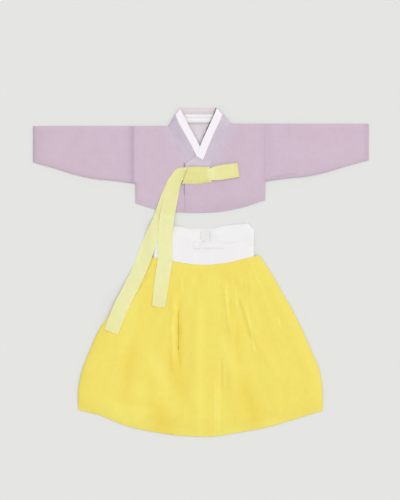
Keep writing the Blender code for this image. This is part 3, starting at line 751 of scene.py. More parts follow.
def places(start, end, step=PANEL_STEP, low=(0.0,), high=(0.0,)):
    """Places from start to end, closer together near the ends."""
    first = start + np.array(low)
    last = end - np.array(high)[::-1]
    count = max(round((last[0] - first[-1]) / step), 1)
    middle = np.linspace(first[-1], last[0], count + 1)
    return np.concatenate([first, middle[1:-1], last])


def ruled(starts, ends, low, high):
    """Rows of places between two edges, as many on each row."""
    count = len(places(starts[0], ends[0], PANEL_STEP, low, high)) - len(low) - len(high) + 2
    low = np.array(low)
    high = np.array(high)[::-1]
    rows = []
    for start, end in zip(starts, ends):
        middle = np.linspace(start + low[-1], end - high[0], count)[1:-1]
        rows.append(np.concatenate([start + low, middle, end - high]))
    return np.array(rows)


def resampled(grid, count, axis):
    """The grid with more rows or columns, on smooth curves through its own."""
    grid = np.moveaxis(grid, axis, 0)
    last = len(grid) - 1
    at = np.linspace(0, last, count)
    k = np.clip(at.astype(int), 0, last - 1)
    t = (at - k)[:, None, None]
    p0, p1, p2, p3 = (grid[np.clip(k + step, 0, last)] for step in (-1, 0, 1, 2))
    curve = p1 + 0.5 * t * (p2 - p0 + t * (2 * p0 - 5 * p1 + 4 * p2 - p3 + t * (3 * (p1 - p2) + p3 - p0)))
    return np.moveaxis(curve, 0, axis)


def ripple(x, y, seed, wave, height):
    """A gentle unevenness, of waves of about the given length in all directions."""
    rng = np.random.default_rng(seed)
    total = np.zeros_like(x)
    for _ in range(RIPPLE_WAVES):
        turn = rng.uniform(0, np.pi)
        length = wave * rng.uniform(0.7, 1.6)
        phase = rng.uniform(0, 2 * np.pi)
        total += np.sin(2 * np.pi * (x * np.cos(turn) + y * np.sin(turn)) / length + phase)
    return height * total / np.sqrt(RIPPLE_WAVES / 2)


def fold_rows(x, y, rows):
    """The summed height of soft ridges and troughs laid along straight lines."""
    total = np.zeros_like(x)
    for ax, ay, bx, by, height, half_width in rows:
        run_x = bx - ax
        run_y = by - ay
        length = np.hypot(run_x, run_y)
        along = ((x - ax) * run_x + (y - ay) * run_y) / length
        past = np.maximum(np.maximum(-along, along - length), 0)
        aside = ((x - ax) * run_y - (y - ay) * run_x) / length
        total += height * np.exp(-((aside / half_width) ** 2) - (past / (FOLD_RUNOUT * half_width)) ** 2)
    return total


def toned(grid, rows):
    """The shades that a table of lines gives a grid of points."""
    return fold_rows(grid[..., 0], grid[..., 1], rows)


# Meshes.


def quads(rows, columns, ring=False):
    """The corners of a grid's faces, whose rows close into rings where asked."""
    low = (np.arange(rows - 1) * columns)[:, None]
    column = np.arange(columns if ring else columns - 1)[None, :]
    after = (column + 1) % columns
    corners = (low + column, low + after, low + columns + after, low + columns + column)
    return np.stack(corners, axis=2).reshape(-1, 4)


def rim_pairs(rows, columns, ring, sewn):
    """The neighbouring points along a grid's open edges, and which of these pairs are sewn."""
    column = np.arange(columns if ring else columns - 1)
    after = (column + 1) % columns
    last = (rows - 1) * columns
    edges = {"first": (column, after), "last": (last + column, last + after)}
    if not ring:
        low = np.arange(0, last, columns)
        edges["left"] = (low, low + columns)
        edges["right"] = (low + columns - 1, low + 2 * columns - 1)
    pairs = np.concatenate([np.stack(pair, 1) for pair in edges.values()])
    flags = np.concatenate([np.full(len(pair[0]), edge in sewn) for edge, pair in edges.items()])
    return pairs, flags


def moved_out(points, distance, ring=False, around=False):
    """The grid of points moved along its own normals, which point up, or outward from its middle."""
    grid = np.concatenate([points[:, -1:], points, points[:, :1]], axis=1) if ring else points
    normal = np.cross(np.gradient(grid, axis=1), np.gradient(grid, axis=0))
    if ring:
        normal = normal[:, 1:-1]
    normal /= np.maximum(np.linalg.norm(normal, axis=2, keepdims=True), 1e-9)
    outward = points - points.mean((0, 1)) if around else np.array([0.0, 0.0, 1.0])
    return points + distance * normal * np.sign((normal * outward).sum())


def with_rounding(grid, ring):
    """The grid with a row added close inside each open edge."""
    for axis in (0,) if ring else (0, 1):
        points = np.moveaxis(grid, axis, 0)
        low = points[0] + (points[1] - points[0]) * ROUND_SHARE
        high = points[-1] + (points[-2] - points[-1]) * ROUND_SHARE
        points = np.concatenate([points[:1], low[None], points[1:-1], high[None], points[-1:]])
        grid = np.moveaxis(points, 0, axis)
    return grid


def pinched(outer, inner, ring, sewn):
    """Both faces drawn together at the free edges, so that the edge is round."""
    keep = np.ones(outer.shape[:2])
    for axis in (0,) if ring else (0, 1):
        view = np.moveaxis(keep, axis, 0)
        for edge, rows in ((("first", "left")[axis], (0, 1)), (("last", "right")[axis], (-1, -2))):
            if edge not in sewn:
                for row, share in zip(rows, (ROUND_EDGE, ROUND_NEXT)):
                    view[row] = np.minimum(view[row], share)
    middle = (outer + inner) / 2
    half = (outer - inner) / 2 * keep[..., None]
    return middle + half, middle - half


def run_lengths(grid, axis):
    """How far each point of a grid is along the cloth, in metres."""
    steps = np.linalg.norm(np.diff(grid, axis=axis), axis=2)
    first = np.zeros_like(np.take(steps, [0], axis=axis))
    return np.concatenate([first, np.cumsum(steps, axis=axis)], axis=axis) * METRES


def cloth_uv(grid, ring):
    """The cloth's own places, in metres across and along, so that the weave follows the piece."""
    wide = np.concatenate([grid, grid[:, :1]], axis=1) if ring else grid
    return np.stack(np.meshgrid(run_lengths(wide, 1).mean(0), run_lengths(wide, 0).mean(1)), axis=2)


def added(name, slot, points, faces, uv):
    """A smooth piece in its fabric, which rides on the only body."""
    mesh = bpy.data.meshes.new(name)
    mesh.from_pydata((points * METRES).tolist(), [], faces)
    mesh.uv_layers.new(name="cloth").uv.foreach_set("vector", uv.ravel())
    mesh.shade_smooth()
    mesh.materials.append(FABRICS[slot])
    piece = bpy.data.objects.new(name, mesh)
    bpy.context.scene.collection.objects.link(piece)
    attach(piece, "root")
    return piece


def stitches(name, slot, path):
    """A row of small running stitches along a path on a cloth's upper side."""
    run = np.concatenate([[0], np.cumsum(np.hypot(*np.diff(path[:, :2], axis=0).T))])
    starts = np.arange(STITCH_GAP, run[-1] - STITCH_LONG, STITCH_LONG + STITCH_GAP)
    share = np.linspace(0, 1, STITCH_STEPS)
    bulge = np.sin(np.pi * share)
    at = starts[:, None] + share * STITCH_LONG
    middle = np.stack([np.interp(at, run, path[:, k]) for k in range(3)], axis=2)
    middle[..., 2] += STITCH_THICK * (0.9 * bulge - 0.5)
    heading = middle[:, -1:] - middle[:, :1]
    heading[..., 2] = 0
    heading /= np.linalg.norm(heading, axis=2, keepdims=True)
    aside = np.cross(np.array([0.0, 0.0, 1.0]), heading)[:, :, None]
    turn = (np.arange(STITCH_SIDES) * 2 * np.pi / STITCH_SIDES)[:, None]
    around = aside * np.cos(turn) + np.array([0.0, 0.0, STITCH_FLAT]) * np.sin(turn)
    radius = STITCH_THICK * (0.55 + 0.45 * bulge)[:, None, None]
    points = (middle[:, :, None] + radius * around).reshape(-1, 3)
    count = STITCH_STEPS * STITCH_SIDES
    ring = np.arange(STITCH_SIDES)
    one = quads(STITCH_STEPS, STITCH_SIDES, True).tolist()
    one += [ring[::-1].tolist(), (ring + count - STITCH_SIDES).tolist()]
    faces = [[corner + k * count for corner in face] for k in range(len(starts)) for face in one]
    return added(name, slot, points, faces, points[np.concatenate(faces), :2] * METRES)


def cloth(name, outer, wall=CLOTH, ring=False, around=False, inner=None, sewn=(), tone=0.0, cool=0.0,
          rows=()):
    """A closed shell of cloth, round at its free edges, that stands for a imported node."""
    node, slot, flat, area, held, rests_on = PIECES[name]
    shades = [np.broadcast_to(value, outer.shape[:2]) for value in (tone, cool)]
    outer = with_rounding(np.concatenate([outer, np.stack(shades, axis=2)], axis=2), ring)
    shades = outer[..., 3:]
    outer = outer[..., :3]
    inner = moved_out(outer, -wall, ring, around) if inner is None else with_rounding(inner, ring)
    uv = cloth_uv(outer, ring)
    outer, inner = pinched(outer, inner, ring, sewn)
    down, across, wide = *outer.shape[:2], uv.shape[1]
    count = down * across
    faces = quads(down, across, ring)
    corners = quads(down, wide)
    pairs, seams = rim_pairs(down, across, ring, sewn)
    rim = np.concatenate([pairs, pairs[:, ::-1] + count], axis=1)
    rim_corners = (pairs // across * wide + pairs % across)[:, [0, 1, 1, 0]]
    points = np.concatenate([outer.reshape(-1, 3), inner.reshape(-1, 3)])
    places_uv = uv.reshape(-1, 2)[np.concatenate([corners, corners, rim_corners]).ravel()]
    piece = added(name, slot, points, np.concatenate([faces, faces + count, rim]).tolist(), places_uv)
    form = bmesh.new()
    form.from_mesh(piece.data)
    bmesh.ops.recalc_face_normals(form, faces=form.faces)
    form.to_mesh(piece.data)
    form.free()
    smooth = np.concatenate([np.ones(2 * len(faces), bool), ~seams])
    piece.data.polygons.foreach_set("use_smooth", smooth)
    for k, label in enumerate(("tone", "cool")):
        values = np.tile(shades[..., k].ravel(), 2).astype(np.float32)
        piece.data.attributes.new(label, "FLOAT", "POINT").data.foreach_set("value", values)
    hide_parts(node)


# Materials.


def linear_colour(rgb):
    """The linear colour of an 8-bit screen colour."""
    share = np.array(rgb, float) / 255
    curve = np.where(share <= 0.04045, share / 12.92, ((share + 0.055) / 1.055) ** 2.4)
    return (*curve.tolist(), 1.0)


class Nodes:
    """Short ways to add nodes to a material and link them."""

    def __init__(self, tree):
        self.tree = tree

    def put(self, socket, value):
        if isinstance(value, bpy.types.NodeSocket):
            self.tree.links.new(value, socket)
        else:
            socket.default_value = value

    def add(self, kind, inputs=None, **settings):
        node = self.tree.nodes.new(kind)
        for key, value in settings.items():
            setattr(node, key, value)
        for key, value in (inputs or {}).items():
            self.put(node.inputs[key], value)
        return node

    def math(self, operation, a, b=0.0):
        return self.add("ShaderNodeMath", {0: a, 1: b}, operation=operation).outputs[0]

    def plus(self, a, b):
        return self.math("ADD", a, b)

    def times(self, a, b):
        return self.math("MULTIPLY", a, b)

    def around(self, value, middle, gain):
        """How far a value is from its middle, times a gain."""
        return self.times(self.math("SUBTRACT", value, middle), gain)

    def attribute(self, name):
        return self.add("ShaderNodeAttribute", attribute_name=name).outputs["Fac"]

    def noise(self, place, scale, detail=3.0, rough=0.5):
        values = {"Vector": place, "Scale": scale, "Detail": detail, "Roughness": rough}
        return self.add("ShaderNodeTexNoise", values).outputs["Fac"]

    def stretched(self, place, sizes):
        return self.add("ShaderNodeVectorMath", {0: place, 1: sizes}, operation="MULTIPLY").outputs[0]

    def blend(self, factor, first, second):
        node = self.add("ShaderNodeMix", data_type="RGBA", clamp_factor=False)
        for key, value in (("Factor", factor), ("A", first), ("B", second)):
            self.put(node.inputs[key], value)
        return node.outputs["Result"]


def fabric(name, light, deep, cool, thread=THREAD, drift=2.2, crease_shade=0.0):
    """A plain-woven cloth: its colour between two tones, drifting a little to a cooler one, with the painted
    shade and painted light of its tone attribute and, where asked, a further painted darkening where that
    shade is deepest;
    its threads, and their thick and thin places."""
    material = bpy.data.materials.new(name)
    material.use_nodes = True
    tree = material.node_tree
    shader = tree.nodes["Principled BSDF"].inputs
    make = Nodes(tree)
    uv = make.add("ShaderNodeUVMap", uv_map="cloth").outputs["UV"]
    place = make.add("ShaderNodeTexCoord").outputs["Object"]
    split = make.add("ShaderNodeSeparateXYZ", {0: uv}).outputs
    warp, weft = (make.math("SINE", make.times(split[k], np.pi / thread)) for k in (0, 1))
    over = make.math("GREATER_THAN", make.times(warp, weft), 0.0)
    under = make.math("SUBTRACT", 1.0, over)
    high = make.times(make.math("ABSOLUTE", warp), over)
    threads = make.plus(high, make.times(make.math("ABSOLUTE", weft), under))
    long, cross = (make.noise(make.stretched(uv, sizes), 1.0, 2.0) for sizes in SLUB_SIZES)
    slubs = make.plus(long, cross)
    clouds = make.plus(make.noise(place, *BROAD_CLOUDS), make.noise(place, *SMALL_CLOUDS))
    tint = make.plus(make.around(clouds, 1.0, MOTTLE), make.around(slubs, 1.0, SLUB_TONE))
    # The tone attribute adds each piece's painted shade and painted light, with a few tones of the cloth's
    # own.
    tint = make.plus(make.plus(tint, make.attribute("tone")), BASE_TONE)
    wander = make.around(make.noise(make.stretched(place, DRIFT_SIZES), 1.0, 3.0, 0.6), 0.45, drift)
    cooler = make.plus(wander, make.attribute("cool"))
    dye = make.blend(cooler, linear_colour(light), linear_colour(cool))
    depth = np.array(linear_colour(deep)[:3]) / linear_colour(light)[:3]
    deep_tone_and_painted_shade = make.stretched(dye, tuple(depth.tolist()))
    # A further painted darkening where the painted shade is deepest, in cloth that asks for it.
    inside = make.math("MAXIMUM", make.times(tint, -crease_shade), 0.0)
    kept = {0: make.blend(tint, deep_tone_and_painted_shade, dye), "Scale": make.math("SUBTRACT", 1.0, inside)}
    colour = make.add("ShaderNodeVectorMath", kept, operation="SCALE").outputs[0]
    fine = {"Strength": WEAVE_STRENGTH, "Distance": thread / 4, "Height": threads}
    fine = make.add("ShaderNodeBump", fine).outputs[0]
    thick = {"Strength": SLUB_STRENGTH, "Distance": SLUB_DEPTH, "Height": slubs, "Normal": fine}
    make.put(shader["Base Color"], colour)
    make.put(shader["Roughness"], make.plus(make.times(slubs, ROUGH_RANGE), ROUGH_LEAST))
    make.put(shader["Normal"], make.add("ShaderNodeBump", thick).outputs[0])
    shader["Sheen Weight"].default_value = 0.15
    shader["Sheen Roughness"].default_value = 0.4
    shader["Specular IOR Level"].default_value = 0.25
    return material


FABRICS = {
    "lilac_silk": fabric("lilac_silk", (213, 191, 207), (196, 174, 192), (212, 200, 213), drift=0.7),
    "lilac_inside": fabric("lilac_inside", (230, 220, 226), (214, 203, 209), (224, 219, 225)),
    "white_strip": fabric("white_strip", (252, 246, 252), (242, 235, 242), (249, 246, 253), thread=0.0004),
    "white_cotton": fabric("white_cotton", (245, 243, 243), (233, 231, 231), (243, 244, 245), thread=0.0006),
    "yellow_silk": fabric("yellow_silk", (245, 229, 111), (238, 213, 86), (243, 231, 112), crease_shade=0.3),
    "pale_yellow_ribbon": fabric("pale_yellow_ribbon", (238, 236, 175), (228, 223, 142), (234, 237, 177)),
}


# Curves through the tables.
jeogori_hem = smooth_curve(JEOGORI_HEM)
sleeve_depth = smooth_curve(SLEEVE_DEPTH)
under_edge = smooth_curve(UNDER_EDGE)
waist_seam = smooth_curve(WAIST_SEAM)
skirt_hem = smooth_curve(SKIRT_HEM)
skirt_side_near, skirt_side_far = (smooth_curve([(row[0], row[k]) for row in SKIRT_SIDES]) for k in (1, 2))
skirt_level, gather_size, fold_size = (
    smooth_curve([(row[0], row[k]) for row in GATHER_SIZES]) for k in (1, 2, 3)
)


# The jeogori.


def groove(distance):
    """How far a seam draws its cloth down, at a distance from it."""
    return -GROOVE * np.exp(-((distance / GROOVE_WIDTH) ** 2))


def jeogori_relief(x, y, distance):
    """The jacket's creases and unevenness, less near its folded edges."""
    uneven = sum(ripple(x, y, *row) for row in JEOGORI_RIPPLES)
    return np.clip(distance / RELIEF_REACH, 0, 1) * (uneven + fold_rows(x, y, JEOGORI_FOLDS))


def body_distance(x, y, side, armhole_y, shoulder_y):
    """The distance of a front's point from the folded edges around it."""
    below = np.maximum(y - armhole_y, 0)
    return np.minimum(np.hypot(np.abs(x - side), below), shoulder_y - y)


def raised_hem(x, y, armhole_y):
    """Moves a row of points with the hem's curve, less and less up to the armhole."""
    share = np.clip((armhole_y - y) / (armhole_y - HEM_LOW_Y), 0, 1)
    return y + share * (jeogori_hem(x) - HEM_LOW_Y)


def front_points(rows, x, side, shoulder_y, top, seam):
    """A front, from one edge to the other on each row, drawn in along its armhole and its seam."""
    armhole_y = shoulder_y - ARMHOLE_DEPTH
    y = np.repeat(rows[:, None], x.shape[1], axis=1)
    distance = body_distance(x, y, side, armhole_y, shoulder_y)
    height = lofted(distance, top) + jeogori_relief(x, y, distance) + groove(seam)
    y = raised_hem(x, y, armhole_y)
    height = hem_drop(height, y - jeogori_hem(x), np.minimum(height, HEM_REST), HEM_REACH)
    return with_height(np.stack([x, y], axis=2), height)


def over_seam(y):
    return np.interp(y, *np.array(OVER_SEAM).T)


def under_front_points():
    rows = places(HEM_LOW_Y, SHOULDER_RIGHT, PANEL_STEP, EDGE_PLACES, EDGE_PLACES)
    end = under_edge(rows) - JOIN
    above = rows > SHOULDER_RIGHT - ARMHOLE_DEPTH
    start = np.where(above, ARMHOLE_X + JOIN / 2, SIDE_RIGHT)
    x = ruled(start, end, EDGE_PLACES, SEAM_PLACES)
    return front_points(rows, x, start[:, None], SHOULDER_RIGHT, FRONT_TOP, end[:, None] - x)


def over_front_points():
    rows = places(HEM_LOW_Y, SHOULDER_LEFT, PANEL_STEP, EDGE_PLACES, EDGE_PLACES)
    start = over_seam(rows) + JOIN
    x = ruled(start, np.full(len(rows), SIDE_LEFT - JOIN / 2), SEAM_PLACES, EDGE_PLACES)
    return front_points(rows, x, SIDE_LEFT, SHOULDER_LEFT, OVERLAP_TOP, x - start[:, None])


def gore_points():
    """The gore beside the opening, whose free edge comes down on the under front."""
    rows = places(HEM_LOW_Y, COLLAR_END_Y - JOIN, PANEL_STEP, EDGE_PLACES, SEAM_PLACES)
    end = over_seam(rows)
    x = ruled(np.full(len(rows), OPENING_X), end, EDGE_PLACES, SEAM_PLACES)
    y = np.repeat(rows[:, None], x.shape[1], axis=1)
    height = OVERLAP_TOP + jeogori_relief(x, y, RELIEF_REACH) + groove(end[:, None] - x)
    lift = GORE_LIFT * np.clip((y - GORE_LIFT_Y) / GORE_LIFT_RUN, 0, 1)
    rest = np.minimum(height, FRONT_TOP + CLOTH + GORE_CLEAR + lift)
    height = hem_drop(height, x - OPENING_X, rest, GORE_REACH)
    y = raised_hem(x, y, SHOULDER_LEFT - ARMHOLE_DEPTH)
    height = hem_drop(height, y - jeogori_hem(x), np.minimum(height, OVER_HEM_REST), HEM_REACH)
    return with_height(np.stack([x, y], axis=2), height)


def back_top(x):
    """The back's upper edge: the shoulders, and the neckline between them."""
    shoulder = np.where(x < 0, SHOULDER_RIGHT, SHOULDER_LEFT)
    return shoulder + (NECKLINE_Y - shoulder) * np.interp(x, BACK_NECK, (0, 1, 1, 0))


def back_points():
    """The back, with closer points where the collar's edge shades it."""
    columns = np.concatenate([places(SIDE_RIGHT, SIDE_LEFT, BACK_STEP), places(*SHADED_X, SHADED_STEP)])
    columns = np.clip(np.unique(columns), SIDE_RIGHT + JOIN / 2, SIDE_LEFT - JOIN / 2)
    shares = np.concatenate([np.linspace(0, SHADED_SHARE, 36)[:-1], np.linspace(SHADED_SHARE, 1, 60)])
    x, share = lattice(columns, shares)
    y = jeogori_hem(x) * (1 - share) + back_top(x) * share
    relief = np.abs(ripple(x, y, *BACK_RIPPLE))
    return np.stack([x, y, WALL + relief * (share < 1)], axis=2)


def sleeve_points(side, end, shoulder_y, top):
    """The rings of a sleeve, from the armhole to the cuff: over the top, and back flat below."""
    rings = []
    edge = np.array(EDGE_PLACES)
    length = abs(end - side)
    for along in places(0.0, length, PANEL_STEP, SEAM_PLACES, EDGE_PLACES):
        share = along / length
        x = side + share * (end - side)
        depth = float(sleeve_depth(share))
        middle = np.linspace(edge[-1], depth - edge[-1], SLEEVE_COLUMNS)[1:-1]
        across = np.concatenate([edge, middle, depth - edge[::-1]])
        under = np.linspace(depth - edge[4], edge[4], SLEEVE_UNDER_COLUMNS)
        below = np.concatenate([depth - edge[:4], under, edge[3::-1]])
        y = shoulder_y - depth + across
        distance = np.minimum(across, depth - across)
        rise = lofted(distance, top + share * (CUFF_TOP - top))
        rise += jeogori_relief(np.full_like(y, x), y, distance) + groove(along)
        rise = hem_drop(rise, length - along, np.minimum(rise, CUFF_REST), CUFF_REACH)
        low = EDGE_TOP / 2 * (1 - crown(np.minimum(below, depth - below), UNDER_REACH))
        y = np.concatenate([y, shoulder_y - depth + below])
        rings.append(np.stack([np.full_like(y, x), y, np.concatenate([rise, low])], axis=1))
    return np.array(rings)


def front_shades(grid, from_seam):
    """A front's painted shade and light from its table, a painted light line along its seam, and its share of
    the collar's cooler hue, by the distance from its seam.
    """
    y = grid[..., 1]
    light = SEAM_LIGHT * np.exp(-((from_seam / SEAM_LIGHT_WIDTH) ** 2))
    cool = SEAM_COOL * np.exp(-((from_seam / SEAM_COOL_WIDTH) ** 2))
    tone = toned(grid, JEOGORI_PAINTED_SHADING) + light * np.clip((y - 335.0) / 10.0, 0, 1)
    return {"tone": tone, "cool": cool * np.clip((y - 310.0) / 30.0, 0, 1)}


def make_jeogori():
    under = under_front_points()
    hem = stitches("hem_stitches_right", "lilac_silk", under[HEM_ROW, 3:-3])
    shades = front_shades(under, under_edge(under[..., 1]) - under[..., 0])
    cloth("front_right", under, sewn=("right", "left"), rows=[hem], **shades)
    over = over_front_points()
    hem = stitches("hem_stitches_left", "lilac_silk", over[HEM_ROW, 3:-3])
    shades = front_shades(over, over[..., 0] - over_seam(over[..., 1]))
    cloth("front_left", over, sewn=("right", "left"), rows=[hem], **shades)
    gore = gore_points()
    # The gore's tone is painted shade and painted light along the opening.
    cloth("gore_left", gore, sewn=("right", "last"), tone=toned(gore, JEOGORI_PAINTED_SHADING))
    back = back_points()
    cloth("back", back, sewn=("last", "left", "right"), tone=toned(back, NECK_SHADE))
    for half, side, end, shoulder_y, top in (
        ("right", ARMHOLE_X - JOIN / 2, -HALF_SPAN, SHOULDER_RIGHT, FRONT_TOP),
        ("left", SIDE_LEFT + JOIN / 2, CUFF_LEFT, SHOULDER_LEFT, OVERLAP_TOP),
    ):
        rings = sleeve_points(side, end, shoulder_y, top)
        cuff = stitches("cuff_stitches_" + half, "lilac_silk", rings[CUFF_ROW, 3:CUFF_POINTS])
        # A sleeve's tone is painted shade and painted light.
        shade = toned(rings, SLEEVE_PAINTED_SHADING)
        cloth("sleeve_" + half, rings, ring=True, around=True, sewn=("first",), tone=shade, rows=[cuff])


# The collar and its dongjeong.


def fold_height(x, y, top):
    """The height of a collar half, which comes down to the fold at the neck's side."""
    right = line_distance(x, y, FOLD_RIGHT)
    left = line_distance(x, y, FOLD_LEFT)
    return lofted(np.minimum(np.abs(right), np.abs(left)), top)


def collar_edges(rows, table, seam, tip):
    """The seam, the strip's edge and the neck's edge of a collar half, each as x and y on every row."""
    edges = np.stack([np.interp(rows, table[:, 0], table[:, k]) for k in range(1, 5)], axis=1)
    edges = np.concatenate([seam(rows)[:, None], rows[:, None], edges], axis=1)
    climb = np.linspace(0, 1, 17)[1:, None] ** 0.7
    return np.concatenate([edges, edges[-1] * (1 - climb) + np.array(tip) * climb])


def collar_points(edges, top, laps_over):
    """A collar half from its seam, at the front's height there, to the neck's edge."""
    seam = np.array(SEAM_PLACES) / COLLAR_WIDTH
    shares = np.concatenate([seam, np.linspace(seam[-1], 1, 14)[1:]])
    outside = between(edges[:, :2], edges[:, 2:4], shares)
    strip = between(edges[:, 2:4], edges[:, 4:], np.linspace(0, 1, STRIP_COLUMNS))
    plan = np.concatenate([outside, strip[:, 1:]], axis=1)
    x, y = plan[..., 0], plan[..., 1]
    away = np.hypot(*(plan - edges[:, None, :2]).transpose(2, 0, 1))
    fall = 0.0
    if laps_over:
        away = np.minimum(away, y - COLLAR_END_Y)
        free = np.hypot(*(plan - edges[:, None, 4:]).transpose(2, 0, 1))
        fall = COLLAR_FALL * (1 - np.clip(free / COLLAR_FALL_REACH, 0, 1)) ** HEM_CURVE
        fall *= np.clip((COLLAR_FALL_Y - y) / 8.0, 0, 1)
    rise = COLLAR_RISE * np.clip(away / 6.0, 0, 1) - fall
    return with_height(plan, fold_height(x, y, top - COLLAR_RISE) + rise)


def strip_points(edges, top):
    """The dongjeong, which lies on the collar and is turned down over its edge."""
    shares = np.concatenate([np.linspace(0, 1, STRIP_COLUMNS), STRIP_WRAP])
    plan = between(edges[:, 2:4], edges[:, 4:], shares)
    height = fold_height(plan[..., 0], plan[..., 1], top)
    height[:, STRIP_COLUMNS:] -= STRIP_FALL
    return with_height(plan, height)


def collar_back_points():
    share, up = lattice(np.linspace(0, 1, 150), np.linspace(0, 1, 50))
    low_x, high_x = (first + share * (last - first) for first, last in (COLLAR_BACK_LOW, COLLAR_BACK_HIGH))
    low_y = back_top(low_x) + JOIN
    x = low_x + up * (high_x - low_x)
    return np.stack([x, low_y + up * (NECK_TOP_Y - low_y), np.full_like(x, WALL)], axis=2)


def flat_patch(x, y, width, height, top, lines, step):
    across, along = lattice(places(x, x + width, step), places(y, y + height, step))
    relief = np.abs(ripple(across, along, *PATCH_RIPPLE)) + fold_rows(across, along, lines)
    return np.stack([across, along, top + relief], axis=2)


def make_collar():
    over_first = COLLAR_OVER[DONGJEONG_OVER_ROW][0]
    for half, table, seam, tip, top, first, ends in (
        ("right", COLLAR_UNDER, under_edge, COLLAR_UNDER_TIP, FRONT_TOP, UNDER_STRIP_Y, ("left",)),
        ("left", COLLAR_OVER, over_seam, COLLAR_OVER_TIP, OVERLAP_TOP, over_first, ("left", "first")),
    ):
        table = np.array(table)
        top = top + COLLAR_RISE
        rows = np.concatenate([places(table[0, 0], first, 1.5)[:-1], places(first, table[-1, 0], 2.6)])
        edges = collar_edges(rows, table, seam, tip)
        grid = collar_points(edges, top, half == "left")
        cool = 0.6 + 0.4 * np.clip(np.arange(grid.shape[1]) / 19.0, 0, 1)[None, :]
        # The collar's tone is painted shade and painted light.
        cloth("collar_cloth_" + half, grid, sewn=ends, tone=toned(grid, COLLAR_PAINTED_SHADING), cool=cool)
        strip = strip_points(edges[(rows < first).sum():], top)
        outer = moved_out(strip, STRIP_CLEAR + RIBBON)
        inner = moved_out(strip, STRIP_CLEAR)
        cloth("strip_" + half, outer, inner=inner, sewn=ALL_EDGES)
    back = collar_back_points()
    cloth("collar_cloth_back", back, sewn=("first",), tone=toned(back, NECK_SHADE))
    label = flat_patch(*LABEL, WALL + STRIP_CLEAR + RIBBON, LABEL_LINES, LABEL_STEP)
    # The label's tone: lighter overall, darker along its lines, with the painted shadow of the over collar's
    # edge across it.
    shade = 0.5 + 6.0 * toned(label, LABEL_LINES) + 2.0 * toned(label, NECK_SHADE[:3])
    rows = [stitches("label_stitches_upper", "white_cotton", label[-3, 2:-2])]
    rows.append(stitches("label_stitches_lower", "white_cotton", label[2, 2:-2]))
    cloth("label", label, RIBBON, sewn=ALL_EDGES, tone=shade, rows=rows)


# The goreum.


def columns_curves(table, places_along, at):
    """Each column of a table, read smoothly at the places asked for."""
    curves = [smooth_curve(list(zip(places_along, column)))(at) for column in np.array(table, float).T]
    return np.stack(curves, axis=1)


def ribbon_plan(rows, columns=5):
    """A ribbon's grid in plan, from the places of its two edges."""
    table = np.array(rows, float)
    middle = (table[:, :2] + table[:, 2:]) / 2
    run = np.concatenate([[0], np.cumsum(np.hypot(*np.diff(middle, axis=0).T))])
    along = np.linspace(0, run[-1], round(run[-1] / TAIL_STEP) + 1)
    edges = columns_curves(table, run, along)
    return between(edges[:, 2:], edges[:, :2], np.linspace(0, 1, columns))


def draped(plan, supports):
    """The top of a ribbon that lies on what is below it, and elsewhere comes down to the surface."""
    flat = plan.reshape(-1, 2)
    height = np.zeros(len(flat))
    for k, place in enumerate(flat):
        away = np.hypot(*(supports[:, :2] - place).T)
        reach = supports[:, 2] - TAIL_SLOPE * np.maximum(away - TAIL_CORE, 0)
        height[k] = max(reach.max() + TAIL_CLEAR, 0)
    return with_height(plan, height.reshape(plan.shape[:2]) + RIBBON)


def support_points():
    """The tops of the jacket, the band and the skirt where the tails pass over them."""
    columns = np.arange(BAND_EDGE_RIGHT, KNOT[1][0], SUPPORT_STEP)
    x, y = lattice(columns, np.arange(HEM_LOW_Y, COLLAR_END_Y, SUPPORT_STEP))
    top = np.where(x >= OPENING_X, OVERLAP_TOP, FRONT_TOP)
    top = hem_drop(top, y - jeogori_hem(x), OVER_HEM_REST, HEM_REACH)
    jacket = np.stack([x, y, top], axis=2)[y >= jeogori_hem(x)]
    x, y = lattice(columns, np.arange(WAIST_SEAM[-2][1], BAND_UPPER_RIGHT[0][1], SUPPORT_STEP))
    band = np.stack([x, y, lofted(x - BAND_EDGE_RIGHT, BAND_TOP)], axis=2).reshape(-1, 3)
    across, down = lattice(np.linspace(0, 0.5, 120), np.linspace(0, 0.55, 90))
    return np.concatenate([jacket, band, skirt_front_points(across, down).reshape(-1, 3)])


def refined(grid, seed):
    """A ribbon's coarse grid made fine, with a hem along both edges and a slight unevenness."""
    fine = resampled(resampled(grid, 8 * len(grid), 0), RIBBON_COLUMNS, 1)
    width = np.hypot(*(fine[:, -1] - fine[:, 0])[:, :2].T)[:, None]
    share = np.linspace(0, 1, RIBBON_COLUMNS)
    hem = np.clip((RIBBON_HEM - np.minimum(share, 1 - share) * width) / 1.5, 0, 1)
    uneven = np.abs(ripple(fine[..., 0], fine[..., 1], seed, *RIBBON_RIPPLE))
    fine[..., 2] += uneven + RIBBON_HEM_RISE * hem
    return fine, hem


